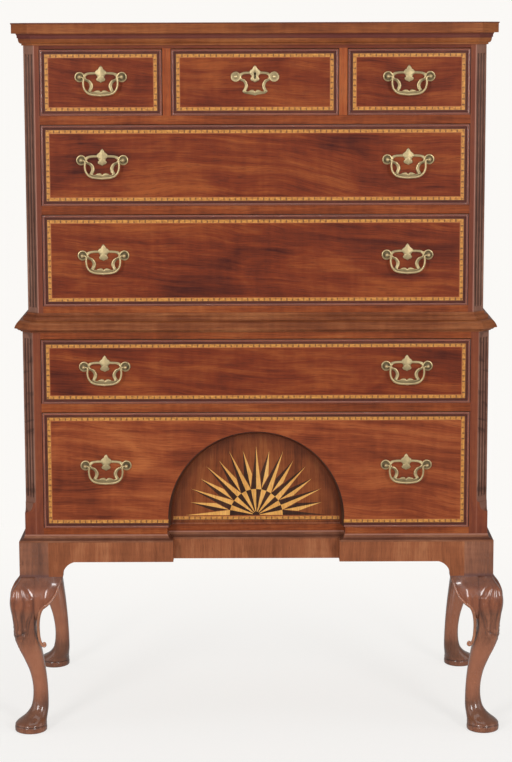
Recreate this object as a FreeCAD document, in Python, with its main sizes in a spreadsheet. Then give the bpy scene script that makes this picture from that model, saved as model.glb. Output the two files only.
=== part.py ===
"""Walnut highboy: a chest of five drawers on a two-drawer lower case and a stand with cabriole legs.

Millimetres, +Z up, the drawers face -Y, and the origin is on the floor under the middle of the whole piece.
"""
import FreeCAD, Part
import math
import os
import Sketcher

V = FreeCAD.Vector
DIAGONAL = 225
HALF_ROOT_TWO = math.sqrt(0.5)
CORNER_POINTS = (15, 45, 75)
SMALL_SIDES = 6
FLUTE_SIDES = 8

SIZES = {
    # the two cases
    "upper_width": 994,
    "setback": 12,
    "lower_depth": 550,
    "side_thickness": 20,
    "cant": 24,
    "upper_stile_width": 11.5,
    "lower_stile_width": 17,
    "post_depth": 45,
    "rail_depth": 60,
    "rail_height": 19,
    "board_thickness": 12,
    "back_thickness": 12,
    "top_thickness": 18,
    "lift_off_gap": 1,
    "divider_width": 18,
    "guide_height": 15,
    "kicker_width": 40,
    # heights of what is stacked from the floor up
    "apron_clearance": 389,
    "apron_height": 44.5,
    "base_moulding_height": 15.5,
    "bottom_rail_height": 15,
    "deep_opening": 258,
    "shallow_opening": 142,
    "top_rail_height": 15,
    "waist_height": 25,
    "upper_base_height": 16,
    "upper_bottom_rail": 15,
    "lower_long_opening": 199,
    "upper_long_opening": 174,
    "small_opening": 142,
    "frieze_height": 7,
    "cornice_height": 47.5,
    # openings of the small drawers
    "centre_opening": 360,
    # the fluted corners
    "flute_radius": 3,
    "flute_pitch": 9.3,
    "flute_end": 14,
    "tongue_height": 48,
    "tongue_length": 26,
    # mouldings, how far they stand out
    "cornice_reach": 26,
    "upper_base_reach": 11,
    "waist_reach": 17,
    "stand_step": 13,
    "base_frame_width": 20,
    # the stand
    "post_width": 64,
    "apron_thickness": 22,
    "bracket_drop": 33,
    "bracket_reach": 31,
    "bracket_curve": 26,
    "recess_depth": 34,
    "recess_margin": 3,
    "rear_leg_inset": 11,
    "ear_drop": 85,
    "ear_lap": 20,
    "knee_bulge": 20,
    # drawers
    "drawer_gap": 1.5,
    "front_thickness": 22,
    "bead_width": 4.5,
    "bead_reach": 3,
    "bead_chamfer": 1.3,
    "lining_thickness": 12,
    "bottom_thickness": 8,
    "bottom_rise": 6,
    "dovetail_length": 14,
    "drawer_back_gap": 12,
    "side_drop": 6,
    "stop_height": 5,
    "stop_width": 30,
    "stop_length": 20,
    # the niche and its sunburst
    "niche_radius": 193,
    "niche_rise": 20,
    "niche_cove": 9,
    "niche_wall": 12,
    "niche_panel": 12,
    "ray_thickness": 1.5,
    "fan_radius": 59,
    "long_ray": 156,
    "short_ray": 148,
    "short_ray_gap": 3,
    "sun_radius": 8,
    # brass
    "pull_spacing": 90,
    "pull_offset": 329,
    "pull_rise": 11,
    "plate_thickness": 1.6,
    "ear_radius": 11,
    "shank_radius": 3,
    "collar_radius": 5.5,
    "collar_length": 2.5,
    "knob_radius": 5,
    "pivot_reach": 12,
    "shank_end": 6,
    "bail_radius": 2.1,
    "pivot_clearance": 0.1,
    "bail_drop": 37,
    "bail_inset": 8.5,
    "bail_bend": 2.5,
    "bail_curve": 19,
    "bail_point": 1.5,
    "escutcheon_spacing": 82,
    "escutcheon_pin_radius": 1.5,
    "escutcheon_boss_radius": 4,
    "escutcheon_boss_reach": 3,
    "keyhole_rise": 6,
    "keyhole_radius": 2.8,
    "keyhole_width": 2.8,
    "keyhole_drop": 11,
    # the lock
    "lock_width": 60,
    "lock_height": 76,
    "lock_thickness": 11,
    "bolt_width": 26,
    "bolt_height": 44,
    "bolt_thickness": 5,
    "bolt_travel": 8,
    "bolt_clearance": 0.5,
    "lock_plate": 3,
    "key_chamber": 13,
}

# Cabriole leg from under its post down to the sole: height, outward shift of the middle, breadth of the section,
# and how round its corners are, from 0 for a square to 1 for a circle.
LEG_STATIONS = {
    "knee_line": (356, 0, 64, 0.10),
    "knee_swell": (334, 8.5, 78, 0.25),
    "knee": (300, 16, 84, 0.40),
    "knee_foot": (270, 21, 66, 0.55),
    "calf": (238, 22, 55, 0.62),
    "shin": (204, 16, 51, 0.68),
    "low_shin": (168, 7, 44, 0.75),
    "high_ankle": (128, -2, 35.5, 0.85),
    "ankle": (82, -6, 33.5, 0.92),
    "instep": (48, -3, 40, 0.95),
    "toe": (32, 5, 52, 1),
    "foot_crown": (22, 13, 66, 1),
    "foot_rim": (13, 15, 71, 1),
    "foot_edge": (5, 15, 71, 1),
    "sole": (0, 15, 62, 1),
}

# Knee bracket, as shares of its width with its drop (seen from the front) and with its swell (seen from above).
EAR_FACE = ((0, 0), (0.07, 0.13), (0.44, 0.32), (0.72, 0.62), (0.93, 0.86), (1, 1))
EAR_PLAN = ((0, 0), (0.3, 0.52), (0.64, 0.85), (1, 1))

document = FreeCAD.newDocument("highboy")
sheet = document.addObject("Spreadsheet::Sheet", "Sizes")


def write_size(name, value):
    """Put one driving dimension into the next row of the sheet."""
    write_size.row += 1
    sheet.set(f"A{write_size.row}", name)
    sheet.set(f"B{write_size.row}", str(value))
    sheet.setAlias(f"B{write_size.row}", name)


write_size.row = 0


class Size:
    """A length that knows its number and the sheet expression behind it; arithmetic keeps both in step."""

    def __init__(self, value, text):
        self.value = float(value)
        self.text = text

    @staticmethod
    def of(other):
        return other if isinstance(other, Size) else Size(other, repr(float(other)))

    def __add__(self, other):
        other = Size.of(other)
        return Size(self.value + other.value, f"({self.text} + {other.text})")

    def __sub__(self, other):
        other = Size.of(other)
        return Size(self.value - other.value, f"({self.text} - {other.text})")

    def __mul__(self, other):
        other = Size.of(other)
        return Size(self.value * other.value, f"({self.text} * {other.text})")

    def __truediv__(self, other):
        other = Size.of(other)
        return Size(self.value / other.value, f"({self.text} / {other.text})")

    def __neg__(self):
        return Size(-self.value, f"(0 - {self.text})")

    __radd__ = __add__
    __rmul__ = __mul__

    def __rsub__(self, other):
        return Size.of(other) - self


class Sheet:
    """Every size of the sheet as an attribute."""


s = Sheet()
for size_name, size_value in SIZES.items():
    write_size(size_name, size_value)
    setattr(s, size_name, Size(size_value, f"Sizes.{size_name}"))


leg_stations = []
for station, values in LEG_STATIONS.items():
    row = []
    for field, value in zip(("level", "shift", "breadth", "roundness"), values):
        write_size(f"{station}_{field}", value)
        row.append(Size(value, f"Sizes.{station}_{field}"))
    leg_stations.append(row)
document.recompute()

# ---------------------------------------------------------------- helpers


def bind(target, path, size):
    """Tie a property to the sheet."""
    target.setExpression(path, Size.of(size).text)


def place(target, x=0, y=0, z=0):
    """Tie an object's position to the sheet."""
    bind(target, "Placement.Base.x", x)
    bind(target, "Placement.Base.y", y)
    bind(target, "Placement.Base.z", z)


def box(label, across, deep, up):
    """A board from its low and high limits along X, Y and Z."""
    board = document.addObject("Part::Box", label)
    board.Label = label
    bind(board, "Length", across[1] - across[0])
    bind(board, "Width", deep[1] - deep[0])
    bind(board, "Height", up[1] - up[0])
    place(board, across[0], deep[0], up[0])
    return board


def new_body(label):
    body = document.addObject("PartDesign::Body", label)
    body.Label = label
    return body


def sketch_on(body, role, name, lift=None):
    """A sketch on one of the body's own origin planes, or at a height above it."""
    sketch = body.newObject("Sketcher::SketchObject", name)
    plane = [feature for feature in body.Origin.OriginFeatures if feature.Role == role][0]
    sketch.AttachmentSupport = [(plane, "")]
    sketch.MapMode = "FlatFace"
    if lift is not None:
        sketch.AttachmentOffset = FreeCAD.Placement(V(0, 0, lift.value), FreeCAD.Rotation())
        bind(sketch, "AttachmentOffset.Base.z", lift)
    return sketch


def edge_between(start, end, radius):
    """A line, or the short arc of that radius: centred left of the way if positive, right if negative."""
    first = V(start[0].value, start[1].value, 0)
    last = V(end[0].value, end[1].value, 0)
    if radius is None:
        return Part.LineSegment(first, last), 1, 2
    chord = last - first
    left = V(-chord.y, chord.x, 0).normalize()
    rise = math.sqrt(max(radius.value ** 2 - (chord.Length / 2) ** 2, 0.0))
    side = 1 if radius.value > 0 else -1
    centre = (first + last) / 2 + left * rise * side
    circle = Part.Circle(centre, V(0, 0, 1), abs(radius.value))
    angles = [math.atan2(point.y - centre.y, point.x - centre.x) for point in (first, last)]
    if side > 0:
        return Part.ArcOfCircle(circle, angles[0], angles[1]), 1, 2
    return Part.ArcOfCircle(circle, angles[1], angles[0]), 2, 1


def draw(sketch, points, closed=True):
    """Draw an outline; each point is (across, up) or (across, up, radius of the arc that leads to it)."""
    points = [(Size.of(p[0]), Size.of(p[1]), Size.of(p[2]) if len(p) > 2 else None) for p in points]
    count = len(points)
    edges = []
    for i in range(count if closed else count - 1):
        start = points[i]
        end = points[(i + 1) % count]
        geometry, first, last = edge_between(start, end, end[2])
        edges.append((sketch.addGeometry(geometry, False), first, last, end[2]))
    for i, (index, first, last, radius) in enumerate(edges):
        following = edges[(i + 1) % len(edges)]
        if closed or i + 1 < len(edges):
            sketch.addConstraint(Sketcher.Constraint("Coincident", index, last, following[0], following[1]))
        locate(sketch, index, first, points[i])
        if radius is not None:
            mark = sketch.addConstraint(Sketcher.Constraint("Radius", index, abs(radius.value)))
            bind(sketch, f"Constraints[{mark}]", radius if radius.value > 0 else -radius)
    if not closed:
        locate(sketch, edges[-1][0], edges[-1][2], points[-1])
    return sketch


def locate(sketch, index, position, point):
    """Fix one end of an edge from the sketch's origin."""
    for kind, size in (("DistanceX", point[0]), ("DistanceY", point[1])):
        mark = sketch.addConstraint(Sketcher.Constraint(kind, -1, 1, index, position, size.value))
        bind(sketch, f"Constraints[{mark}]", size)


def arc_points(x, y, radius, start, end, chords):
    """Points along an arc, from one angle to another in degrees."""
    points = []
    for i in range(chords + 1):
        angle = math.radians(start + (end - start) * i / chords)
        points.append((x + radius * math.cos(angle), y + radius * math.sin(angle)))
    return points


def small_round(x, y, radius):
    """Outline of a thin rod or the hole for one, in a few flats."""
    return arc_points(x, y, radius, 0, 360, SMALL_SIDES)[:-1]


# Which way each origin plane faces: the pad of an XZ sketch grows towards -Y.
PLANES = {"XY": "XY_Plane", "XZ": "XZ_Plane", "YZ": "YZ_Plane"}


def pad(label, plane, outlines, low, high):
    """Extrude outlines drawn on a plane, from low to high along the plane's own axis."""
    body = new_body(label)
    sketch = sketch_on(body, PLANES[plane], label + "_outline")
    for outline in outlines:
        draw(sketch, outline)
    feature = body.newObject("PartDesign::Pad", label + "_pad")
    feature.Profile = (sketch, [""])
    bind(feature, "Length", high - low)
    if plane == "XY":
        place(body, z=low)
    elif plane == "XZ":
        place(body, y=high)
    else:
        place(body, x=low)
    return body


def turned(label, outline, angle=360.0, reverse=False):
    """Turn an outline of (radius, along) about the sketch's vertical axis."""
    body = new_body(label)
    sketch = sketch_on(body, "XY_Plane", label + "_outline")
    draw(sketch, outline)
    feature = body.newObject("PartDesign::Revolution", label + "_turn")
    feature.Profile = (sketch, [""])
    feature.ReferenceAxis = (sketch, ["V_Axis"])
    feature.Angle = angle
    feature.Reversed = reverse
    return body


def moulding(label, path, profile, level):
    """Run a profile of (reach, height) round a path that starts at the back of the left side."""
    body = new_body(label)
    spine = draw(sketch_on(body, "XY_Plane", label + "_path"), path, closed=False)
    face = sketch_on(body, "XZ_Plane", label + "_profile", lift=-path[0][1])
    draw(face, [(path[0][0] - point[0],) + tuple(point[1:]) for point in profile])
    feature = body.newObject("PartDesign::AdditivePipe", label + "_run")
    feature.Profile = face
    feature.Spine = (spine, [])
    feature.Transition = "Right corner"
    place(body, z=level)
    return body


def group(label, pieces):
    """Separate solids that make one node."""
    compound = document.addObject("Part::Compound", label)
    compound.Label = label
    compound.Links = pieces
    return compound


def fuse(label, pieces):
    feature = document.addObject("Part::MultiFuse", label)
    feature.Label = label
    feature.Shapes = pieces
    return feature


def cut(label, base, tool):
    feature = document.addObject("Part::Cut", label)
    feature.Label = label
    feature.Base = base
    feature.Tool = tool
    return feature


def common(label, base, tool):
    feature = document.addObject("Part::Common", label)
    feature.Label = label
    feature.Base = base
    feature.Tool = tool
    return feature


def mirrored(label, source, normal=V(1, 0, 0), at=(0, 0)):
    """The mirror image of a piece in an upright plane through a point."""
    feature = document.addObject("Part::Mirroring", label)
    feature.Label = label
    feature.Source = source
    feature.Normal = normal
    bind(feature, "Base.x", at[0])
    bind(feature, "Base.y", at[1])
    return feature


def copy(label, source, x, y, z):
    """The same piece again, somewhere else."""
    link = document.addObject("App::Link", label)
    link.Label = label
    link.LinkedObject = source
    place(link, x, y, z)
    return link


nodes = []


def node(piece):
    """Count a piece among the parts that are written out."""
    nodes.append(piece)
    return piece


# ---------------------------------------------------------------- levels and planes

upper_half = s.upper_width / 2
lower_half = upper_half + s.setback
stand_half = lower_half + s.stand_step
front = -(s.lower_depth - s.stand_step - s.rear_leg_inset) / 2
back = front + s.lower_depth
upper_front = front + s.setback
stand_front = front - s.stand_step
inside_back = back - s.back_thickness

apron_bottom = s.apron_clearance
stand_top = apron_bottom + s.apron_height
lower_bottom = stand_top + s.base_moulding_height
deep_bottom = lower_bottom + s.bottom_rail_height
deep_top = deep_bottom + s.deep_opening
shallow_bottom = deep_top + s.rail_height
shallow_top = shallow_bottom + s.shallow_opening
lower_top = shallow_top + s.top_rail_height
upper_bottom = lower_top + s.top_thickness
waist_top = lower_top + s.waist_height
upper_base_top = waist_top + s.upper_base_height
lower_long_bottom = upper_base_top + s.upper_bottom_rail
lower_long_top = lower_long_bottom + s.lower_long_opening
upper_long_bottom = lower_long_top + s.rail_height
upper_long_top = upper_long_bottom + s.upper_long_opening
small_bottom = upper_long_top + s.rail_height
small_top = small_bottom + s.small_opening
cornice_bottom = small_top + s.frieze_height
cornice_top = cornice_bottom + s.cornice_height
upper_top = cornice_top - s.top_thickness

bolt_front = upper_front + s.front_thickness - s.lock_thickness + s.lock_plate
keyhole_level = small_bottom + s.small_opening / 2 + s.pull_rise + s.keyhole_rise

upper_post_face = s.cant + s.upper_stile_width
lower_post_face = s.cant + s.lower_stile_width
upper_opening = upper_half - upper_post_face
lower_opening = lower_half - lower_post_face
centre_half = s.centre_opening / 2
divider_outer = centre_half + s.divider_width


def corner_path(half, face, inset=0):
    """The plan of a case's front and sides with canted corners, from the back of the left side.

    An inset moves every line of it inward by the same distance.
    """
    half = half - inset
    face = face + inset
    cant = s.cant - inset * (2 - 2 * HALF_ROOT_TWO)
    return [
        (-half, back),
        (-half, face + cant),
        (-half + cant, face),
        (half - cant, face),
        (half, face + cant),
        (half, back),
    ]


# ---------------------------------------------------------------- case corners


def flutes(label, half, face, low, high):
    """Three round-bottomed flutes down the left cant."""
    cutters = []
    for i in (-1, 0, 1):
        along = i * HALF_ROOT_TWO * s.flute_pitch
        cutter = document.addObject("Part::Prism", f"{label}_flute_{i + 2}")
        cutter.Polygon = FLUTE_SIDES
        bind(cutter, "Circumradius", s.flute_radius)
        bind(cutter, "Height", high - low)
        place(cutter, -half + s.cant / 2 + along, face + s.cant / 2 - along, low)
        cutters.append(cutter)
    return group(label + "_flutes", cutters)


def lambs_tongue_cutter(label, half, face, low, high):
    """Takes the cant off a square corner and ends it in a lamb's tongue.

    The sketch stands in the corner's diagonal plane, X outward from the corner.
    """
    cant_face = -s.cant * HALF_ROOT_TWO
    clear = s.cant
    middle = low + s.tongue_length / 2
    body = new_body(label)
    sketch = sketch_on(body, "XZ_Plane", label + "_outline")
    draw(sketch, [
        (cant_face, high),
        (cant_face, low + s.tongue_length),
        (cant_face / 2, middle, s.tongue_length * 0.75),
        (0, low, -s.tongue_length * 0.75),
        (clear, low),
        (clear, high),
    ])
    feature = body.newObject("PartDesign::Pad", label + "_pad")
    feature.Profile = (sketch, [""])
    bind(feature, "Length", s.cant * 4)
    feature.Midplane = True
    body.Placement.Rotation = FreeCAD.Rotation(V(0, 0, 1), DIAGONAL)
    place(body, -half, face)
    return body


def corner_posts():
    """Canted and fluted front corners; the lower pair runs out in lamb's tongues above a square foot."""
    half = upper_half
    face = upper_front
    upper = pad("upper_post_plain", "XY", [[
        (-upper_opening, face),
        (-upper_opening, face + s.post_depth),
        (-half, face + s.post_depth),
        (-half, face + s.cant),
        (-half + s.cant, face),
    ]], upper_bottom, upper_top)
    upper_flutes = flutes("upper", half, face, upper_base_top + s.flute_end, small_top - s.flute_end)
    upper_left = cut("upper_post_left", upper, upper_flutes)
    node(group("upper_corner_posts", [upper_left, mirrored("upper_post_right", upper_left)]))

    tongue = lower_bottom + s.tongue_height
    lower = box("lower_post_plain", (-lower_half, -lower_opening), (front, front + s.post_depth),
                (lower_bottom, lower_top))
    cutter = lambs_tongue_cutter("lambs_tongue", lower_half, front, tongue, lower_top)
    canted = cut("lower_post_canted", lower, cutter)
    low = tongue + s.tongue_length + s.flute_end / 2
    lower_left = cut("lower_post_left", canted, flutes("lower", lower_half, front, low, lower_top - s.flute_end))
    node(group("lower_corner_posts", [lower_left, mirrored("lower_post_right", lower_left)]))


# ---------------------------------------------------------------- carcases


def both_sides(label, inner, outer, deep, up):
    """The same board at the left and at the right."""
    left = box(label + "_left", (-outer, -inner), deep, up)
    return [left, box(label + "_right", (inner, outer), deep, up)]


def back_boards(label, half, low, high, count):
    """Horizontal boards that close the back between the sides."""
    pitch = (high - low) / count
    boards = []
    for i in range(count):
        up = (low + i * pitch, low + (i + 1) * pitch)
        boards.append(box(f"{label}_{i + 1}", (-half, half), (inside_back, back), up))
    return group(label, boards)


def cases():
    """Sides, rails, dividers, dust boards, guides, kickers and backs of the two cases."""
    upper_inside = upper_half - s.side_thickness
    lower_inside = lower_half - s.side_thickness
    upper_side = (upper_front + s.post_depth, back)
    lower_side = (front + s.post_depth, back)
    node(group("upper_sides", both_sides("upper_side", upper_inside, upper_half, upper_side,
                                         (upper_bottom, upper_top))))
    node(group("lower_sides", both_sides("lower_side", lower_inside, lower_half, lower_side,
                                         (lower_bottom, lower_top))))

    upper_rail = (upper_front, upper_front + s.rail_depth)
    across = (-upper_opening, upper_opening)
    top_rail = box("upper_top_rail", across, upper_rail, (small_top, upper_top))
    mortise = box(
        "bolt_mortise",
        (-s.bolt_width / 2 - s.bolt_clearance, s.bolt_width / 2 + s.bolt_clearance),
        (bolt_front - s.bolt_clearance, bolt_front + s.bolt_thickness + s.bolt_clearance),
        (small_top, small_top + s.bolt_travel + s.bolt_clearance),
    )
    node(group("upper_rails", [
        box("upper_case_bottom_rail", across, upper_rail, (upper_bottom, lower_long_bottom)),
        box("lower_long_rail", across, upper_rail, (lower_long_top, upper_long_bottom)),
        box("upper_long_rail", across, upper_rail, (upper_long_top, small_bottom)),
        cut("mortised_top_rail", top_rail, mortise),
    ]))
    node(group("drawer_dividers", both_sides("divider", centre_half, divider_outer, upper_rail,
                                             (small_bottom, small_top))))

    lower_rail = (front, front + s.rail_depth)
    across = (-lower_opening, lower_opening)
    notch = s.niche_radius + s.recess_margin
    bottom_rail = pad("lower_case_bottom_rail", "XY", [[
        (-lower_opening, front),
        (-notch, front),
        (-notch, front + s.recess_depth),
        (notch, front + s.recess_depth),
        (notch, front),
        (lower_opening, front),
        (lower_opening, front + s.rail_depth),
        (-lower_opening, front + s.rail_depth),
    ]], lower_bottom, deep_bottom)
    node(group("lower_rails", [
        bottom_rail,
        box("shallow_rail", across, lower_rail, (deep_top, shallow_bottom)),
        box("lower_case_top_rail", across, lower_rail, (shallow_top, lower_top)),
    ]))

    upper_deep = (upper_front + s.rail_depth, inside_back)
    lower_deep = (front + s.rail_depth, inside_back)
    board = s.board_thickness
    top_outline = corner_path(upper_half, upper_front)
    node(group("upper_boards", [
        box("upper_bottom_board", (-upper_inside, upper_inside), upper_deep,
            (lower_long_bottom - board, lower_long_bottom)),
        box("lower_long_dust_board", (-upper_inside, upper_inside), upper_deep,
            (upper_long_bottom - board, upper_long_bottom)),
        box("upper_long_dust_board", (-upper_inside, upper_inside), upper_deep,
            (small_bottom - board, small_bottom)),
        pad("top_board", "XY", [top_outline], upper_top, cornice_top),
    ]))
    tray = corner_path(lower_half, front, s.setback - s.lift_off_gap)
    node(group("lower_boards", [
        box("lower_bottom_board", (-lower_inside, lower_inside), lower_deep, (lower_bottom, deep_bottom)),
        box("shallow_dust_board", (-lower_inside, lower_inside), lower_deep,
            (shallow_bottom - board, shallow_bottom)),
        pad("lower_top_board", "XY", [tray], lower_top, upper_bottom),
    ]))

    runners = []
    guide = s.guide_height
    for name, level in (("lower_long", lower_long_bottom), ("upper_long", upper_long_bottom),
                        ("small", small_bottom)):
        runners += both_sides(name + "_guide", upper_opening, upper_inside, upper_deep, (level, level + guide))
    for name, level in (("deep", deep_bottom), ("shallow", shallow_bottom)):
        runners += both_sides(name + "_guide", lower_opening, lower_inside, lower_deep, (level, level + guide))
    runners += both_sides("divider_guide", centre_half, divider_outer, upper_deep,
                          (small_bottom, small_bottom + guide))
    kicker = s.kicker_width
    small_kicker = (small_top, small_top + s.rail_height)
    runners += both_sides("small_kicker", upper_inside - kicker, upper_inside, upper_deep, small_kicker)
    middle = (centre_half + divider_outer) / 2
    runners += both_sides("divider_kicker", middle - kicker / 2, middle + kicker / 2, upper_deep, small_kicker)
    runners += both_sides("shallow_kicker", lower_inside - kicker, lower_inside, lower_deep,
                          (shallow_top, lower_top))
    runners += drawer_stops()
    node(group("drawer_runners", runners))

    node(back_boards("upper_back_boards", upper_inside, upper_bottom, upper_top, 4))
    node(back_boards("lower_back_boards", lower_inside, lower_bottom, lower_top, 3))


def drawer_stops():
    """Small blocks on the rails that the drawer fronts come to rest against."""
    stops = []
    for name, middle, half, level, face in (
        ("lower_long", 0, upper_opening, lower_long_bottom, upper_front),
        ("upper_long", 0, upper_opening, upper_long_bottom, upper_front),
        ("small_centre", 0, centre_half, small_bottom, upper_front),
        ("small_left", -(divider_outer + upper_opening) / 2, (upper_opening - divider_outer) / 2,
         small_bottom, upper_front),
        ("small_right", (divider_outer + upper_opening) / 2, (upper_opening - divider_outer) / 2,
         small_bottom, upper_front),
        ("deep", 0, lower_opening, deep_bottom, front),
        ("shallow", 0, lower_opening, shallow_bottom, front),
    ):
        start = face + s.front_thickness
        for side in (-1, 1):
            near = middle + side * half * 0.7
            stops.append(box(f"{name}_stop_{side + 2}", (near - s.stop_width / 2, near + s.stop_width / 2),
                             (start, start + s.stop_length), (level, level + s.stop_height)))
    return stops


# ---------------------------------------------------------------- mouldings


def mouldings():
    """Cornice, the two mouldings at the waist, and the moulding under the lower case."""
    reach = s.cornice_reach
    tall = s.cornice_height
    cornice = [
        (0, 0),
        (reach * 0.14, 0),
        (reach * 0.14, tall * 0.08),
        (reach * 0.42, tall * 0.33, -reach * 0.72),
        (reach * 0.5, tall * 0.33),
        (reach * 0.5, tall * 0.42),
        (reach * 0.85, tall * 0.53, reach * 0.45),
        (reach * 0.94, tall * 0.53),
        (reach * 0.94, tall * 0.93),
        (reach, tall * 0.95),
        (reach, tall),
        (0, tall),
    ]
    node(moulding("cornice", corner_path(upper_half, upper_front), cornice, cornice_bottom))

    reach = s.upper_base_reach
    tall = s.upper_base_height
    upper_base = [
        (0, 0),
        (reach, 0),
        (reach, tall * 0.25),
        (reach * 0.72, tall * 0.5, reach * 0.5),
        (reach * 0.72, tall * 0.58),
        (reach * 0.2, tall * 0.94, -reach * 0.62),
        (reach * 0.2, tall),
        (0, tall),
    ]
    node(moulding("upper_base_moulding", corner_path(upper_half, upper_front), upper_base, waist_top))

    reach = s.waist_reach
    tall = s.waist_height
    inner = s.setback - s.lift_off_gap
    waist = [
        (-inner, 0),
        (reach * 0.24, 0),
        (reach * 0.24, tall * 0.12),
        (reach * 0.7, tall * 0.28, -reach * 0.55),
        (reach, tall * 0.28),
        (reach, tall * 0.36),
        (0, tall, reach * 1.35),
        (-inner, tall),
    ]
    node(moulding("waist_moulding", corner_path(lower_half, front), waist, lower_top))

    reach = s.stand_step
    tall = s.base_moulding_height
    notch = s.niche_radius + s.recess_margin
    recess = front + s.recess_depth
    path = [
        (-lower_half, back),
        (-lower_half, front),
        (-notch, front),
        (-notch, recess),
        (notch, recess),
        (notch, front),
        (lower_half, front),
        (lower_half, back),
    ]
    base = [
        (-s.base_frame_width, 0),
        (reach, 0),
        (reach, tall * 0.12),
        (reach * 0.85, tall * 0.25, reach * 0.16),
        (reach * 0.7, tall * 0.25),
        (reach * 0.1, tall * 0.88, -reach * 0.7),
        (reach * 0.1, tall),
        (-s.base_frame_width, tall),
    ]
    node(moulding("base_moulding", path, base, stand_top))


# ---------------------------------------------------------------- the stand


def bracketed_edge(near, far):
    """Lower edge of an apron between two posts, with a quarter-round bracket at each end."""
    low = apron_bottom - s.bracket_drop
    foot = s.bracket_reach
    turn = s.bracket_curve
    return [
        (near, low),
        (near + foot, low),
        (near + foot + turn, apron_bottom, -(s.bracket_drop + turn) * 0.55),
        (far - foot - turn, apron_bottom),
        (far - foot, low, -(s.bracket_drop + turn) * 0.55),
        (far, low),
    ]


def aprons():
    """Front apron broken back in the middle, two side aprons, and a plain back one."""
    inside = stand_half - s.post_width
    thick = s.apron_thickness
    notch = s.niche_radius + s.recess_margin - s.stand_step
    recess = stand_front + s.recess_depth
    plan = pad("apron_plan", "XY", [[
        (-inside, stand_front),
        (-notch, stand_front),
        (-notch, recess),
        (notch, recess),
        (notch, stand_front),
        (inside, stand_front),
        (inside, stand_front + thick),
        (notch + thick, stand_front + thick),
        (notch + thick, recess + thick),
        (-notch - thick, recess + thick),
        (-notch - thick, stand_front + thick),
        (-inside, stand_front + thick),
    ]], apron_bottom - s.bracket_drop, stand_top)
    face = pad("apron_face", "XZ", [bracketed_edge(-inside, inside) + [(inside, stand_top), (-inside, stand_top)]],
               stand_front, recess + thick)
    node(common("apron_front", plan, face))

    near = stand_front + s.post_width
    far = back - s.post_width
    outline = bracketed_edge(near, far) + [(far, stand_top), (near, stand_top)]
    left = pad("apron_side_left", "YZ", [outline], -stand_half, -stand_half + thick)
    rear = box("apron_back", (-inside, inside), (back - thick, back), (apron_bottom, lower_bottom))
    node(group("apron_sides_and_back", [left, mirrored("apron_side_right", left), rear]))


def leg_section(middle_x, middle_y, breadth, roundness):
    """Section of a leg: a square with its corners carved round in two flats, parallel from section to section."""
    half = breadth / 2
    radius = half * roundness
    vertex = radius / math.cos(math.radians(CORNER_POINTS[0]))
    outline = []
    for quarter in range(4):
        turn = math.radians(90 * quarter + 45)
        centre_x = middle_x + (half - radius) * math.copysign(1, math.cos(turn))
        centre_y = middle_y + (half - radius) * math.copysign(1, math.sin(turn))
        for point in CORNER_POINTS:
            angle = math.radians(90 * quarter + point)
            outline.append((centre_x + vertex * math.cos(angle), centre_y + vertex * math.sin(angle)))
    return outline


def cabriole_leg(label, outward_y, middle_y, inset):
    """A left leg in one piece: square post, cabriole below the knee line, and a pad foot.

    The leg bows out along its diagonal: to the left, and to outward_y (-1 front, 1 rear).
    """
    middle_x = -stand_half + s.post_width / 2
    sections = []
    for i, (level, shift, breadth, roundness) in enumerate(leg_stations):
        bowed = shift - inset * min(i, 2) / 2
        sketch = document.addObject("Sketcher::SketchObject", f"{label}_section_{i + 1}")
        draw(sketch, leg_section(middle_x - bowed, middle_y + outward_y * bowed, breadth, roundness))
        place(sketch, z=level)
        sections.append(sketch)
    carved = document.addObject("Part::Loft", label + "_carved")
    carved.Sections = sections
    carved.Solid = True
    carved.Ruled = True
    carved.Linearize = True
    half = s.post_width / 2
    post = box(label + "_post", (middle_x - half, middle_x + half), (middle_y - half, middle_y + half),
               (leg_stations[0][0], stand_top))
    return fuse(label, [carved, post])


def legs():
    """Four cabriole legs; the rear pair bows out less than the front pair."""
    left_legs = {}
    front_y = stand_front + s.post_width / 2
    rear_y = back - s.post_width / 2
    for name, outward, middle_y, inset in (("front", -1, front_y, Size.of(0)), ("rear", 1, rear_y, s.rear_leg_inset)):
        left = node(cabriole_leg(f"leg_{name}_left", outward, middle_y, inset))
        node(mirrored(f"leg_{name}_right", left))
        left_legs[name] = left
    return left_legs


def knee_brackets(left_legs):
    """Ears glued beside the knees: two on each front leg, and one, under the side apron, on each rear leg."""
    top = apron_bottom - s.bracket_drop
    near = -stand_half + s.post_width
    inner = near + s.bracket_reach
    lap = near - s.ear_lap
    low = top - s.ear_drop
    width = inner - lap
    rear = stand_front + s.apron_thickness
    scroll = [(lap + width * x, low + s.ear_drop * z) for x, z in EAR_FACE]
    face = pad("ear_face", "XZ", [scroll + [(lap, top)]], stand_front - s.knee_bulge, rear)
    swell = [(lap + width * x, stand_front - s.knee_bulge * (1 - y)) for x, y in EAR_PLAN]
    plan = pad("ear_plan", "XY", [swell + [(inner, rear), (lap, rear)]], low, top)
    ear = common("ear", face, plan)
    side_ear = mirrored("side_ear", ear, V(HALF_ROOT_TWO, -HALF_ROOT_TWO, 0), (-stand_half, stand_front))
    rear_ear = mirrored("rear_ear", side_ear, V(0, 1, 0), (0, (stand_front + back) / 2))
    pieces = []
    for name, blank, leg in (("front", ear, "front"), ("side", side_ear, "front"), ("rear", rear_ear, "rear")):
        left = cut(f"{name}_bracket_left", blank, left_legs[leg])
        pieces += [left, mirrored(f"{name}_bracket_right", left)]
    node(group("knee_brackets", pieces))


# ---------------------------------------------------------------- drawers


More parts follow.
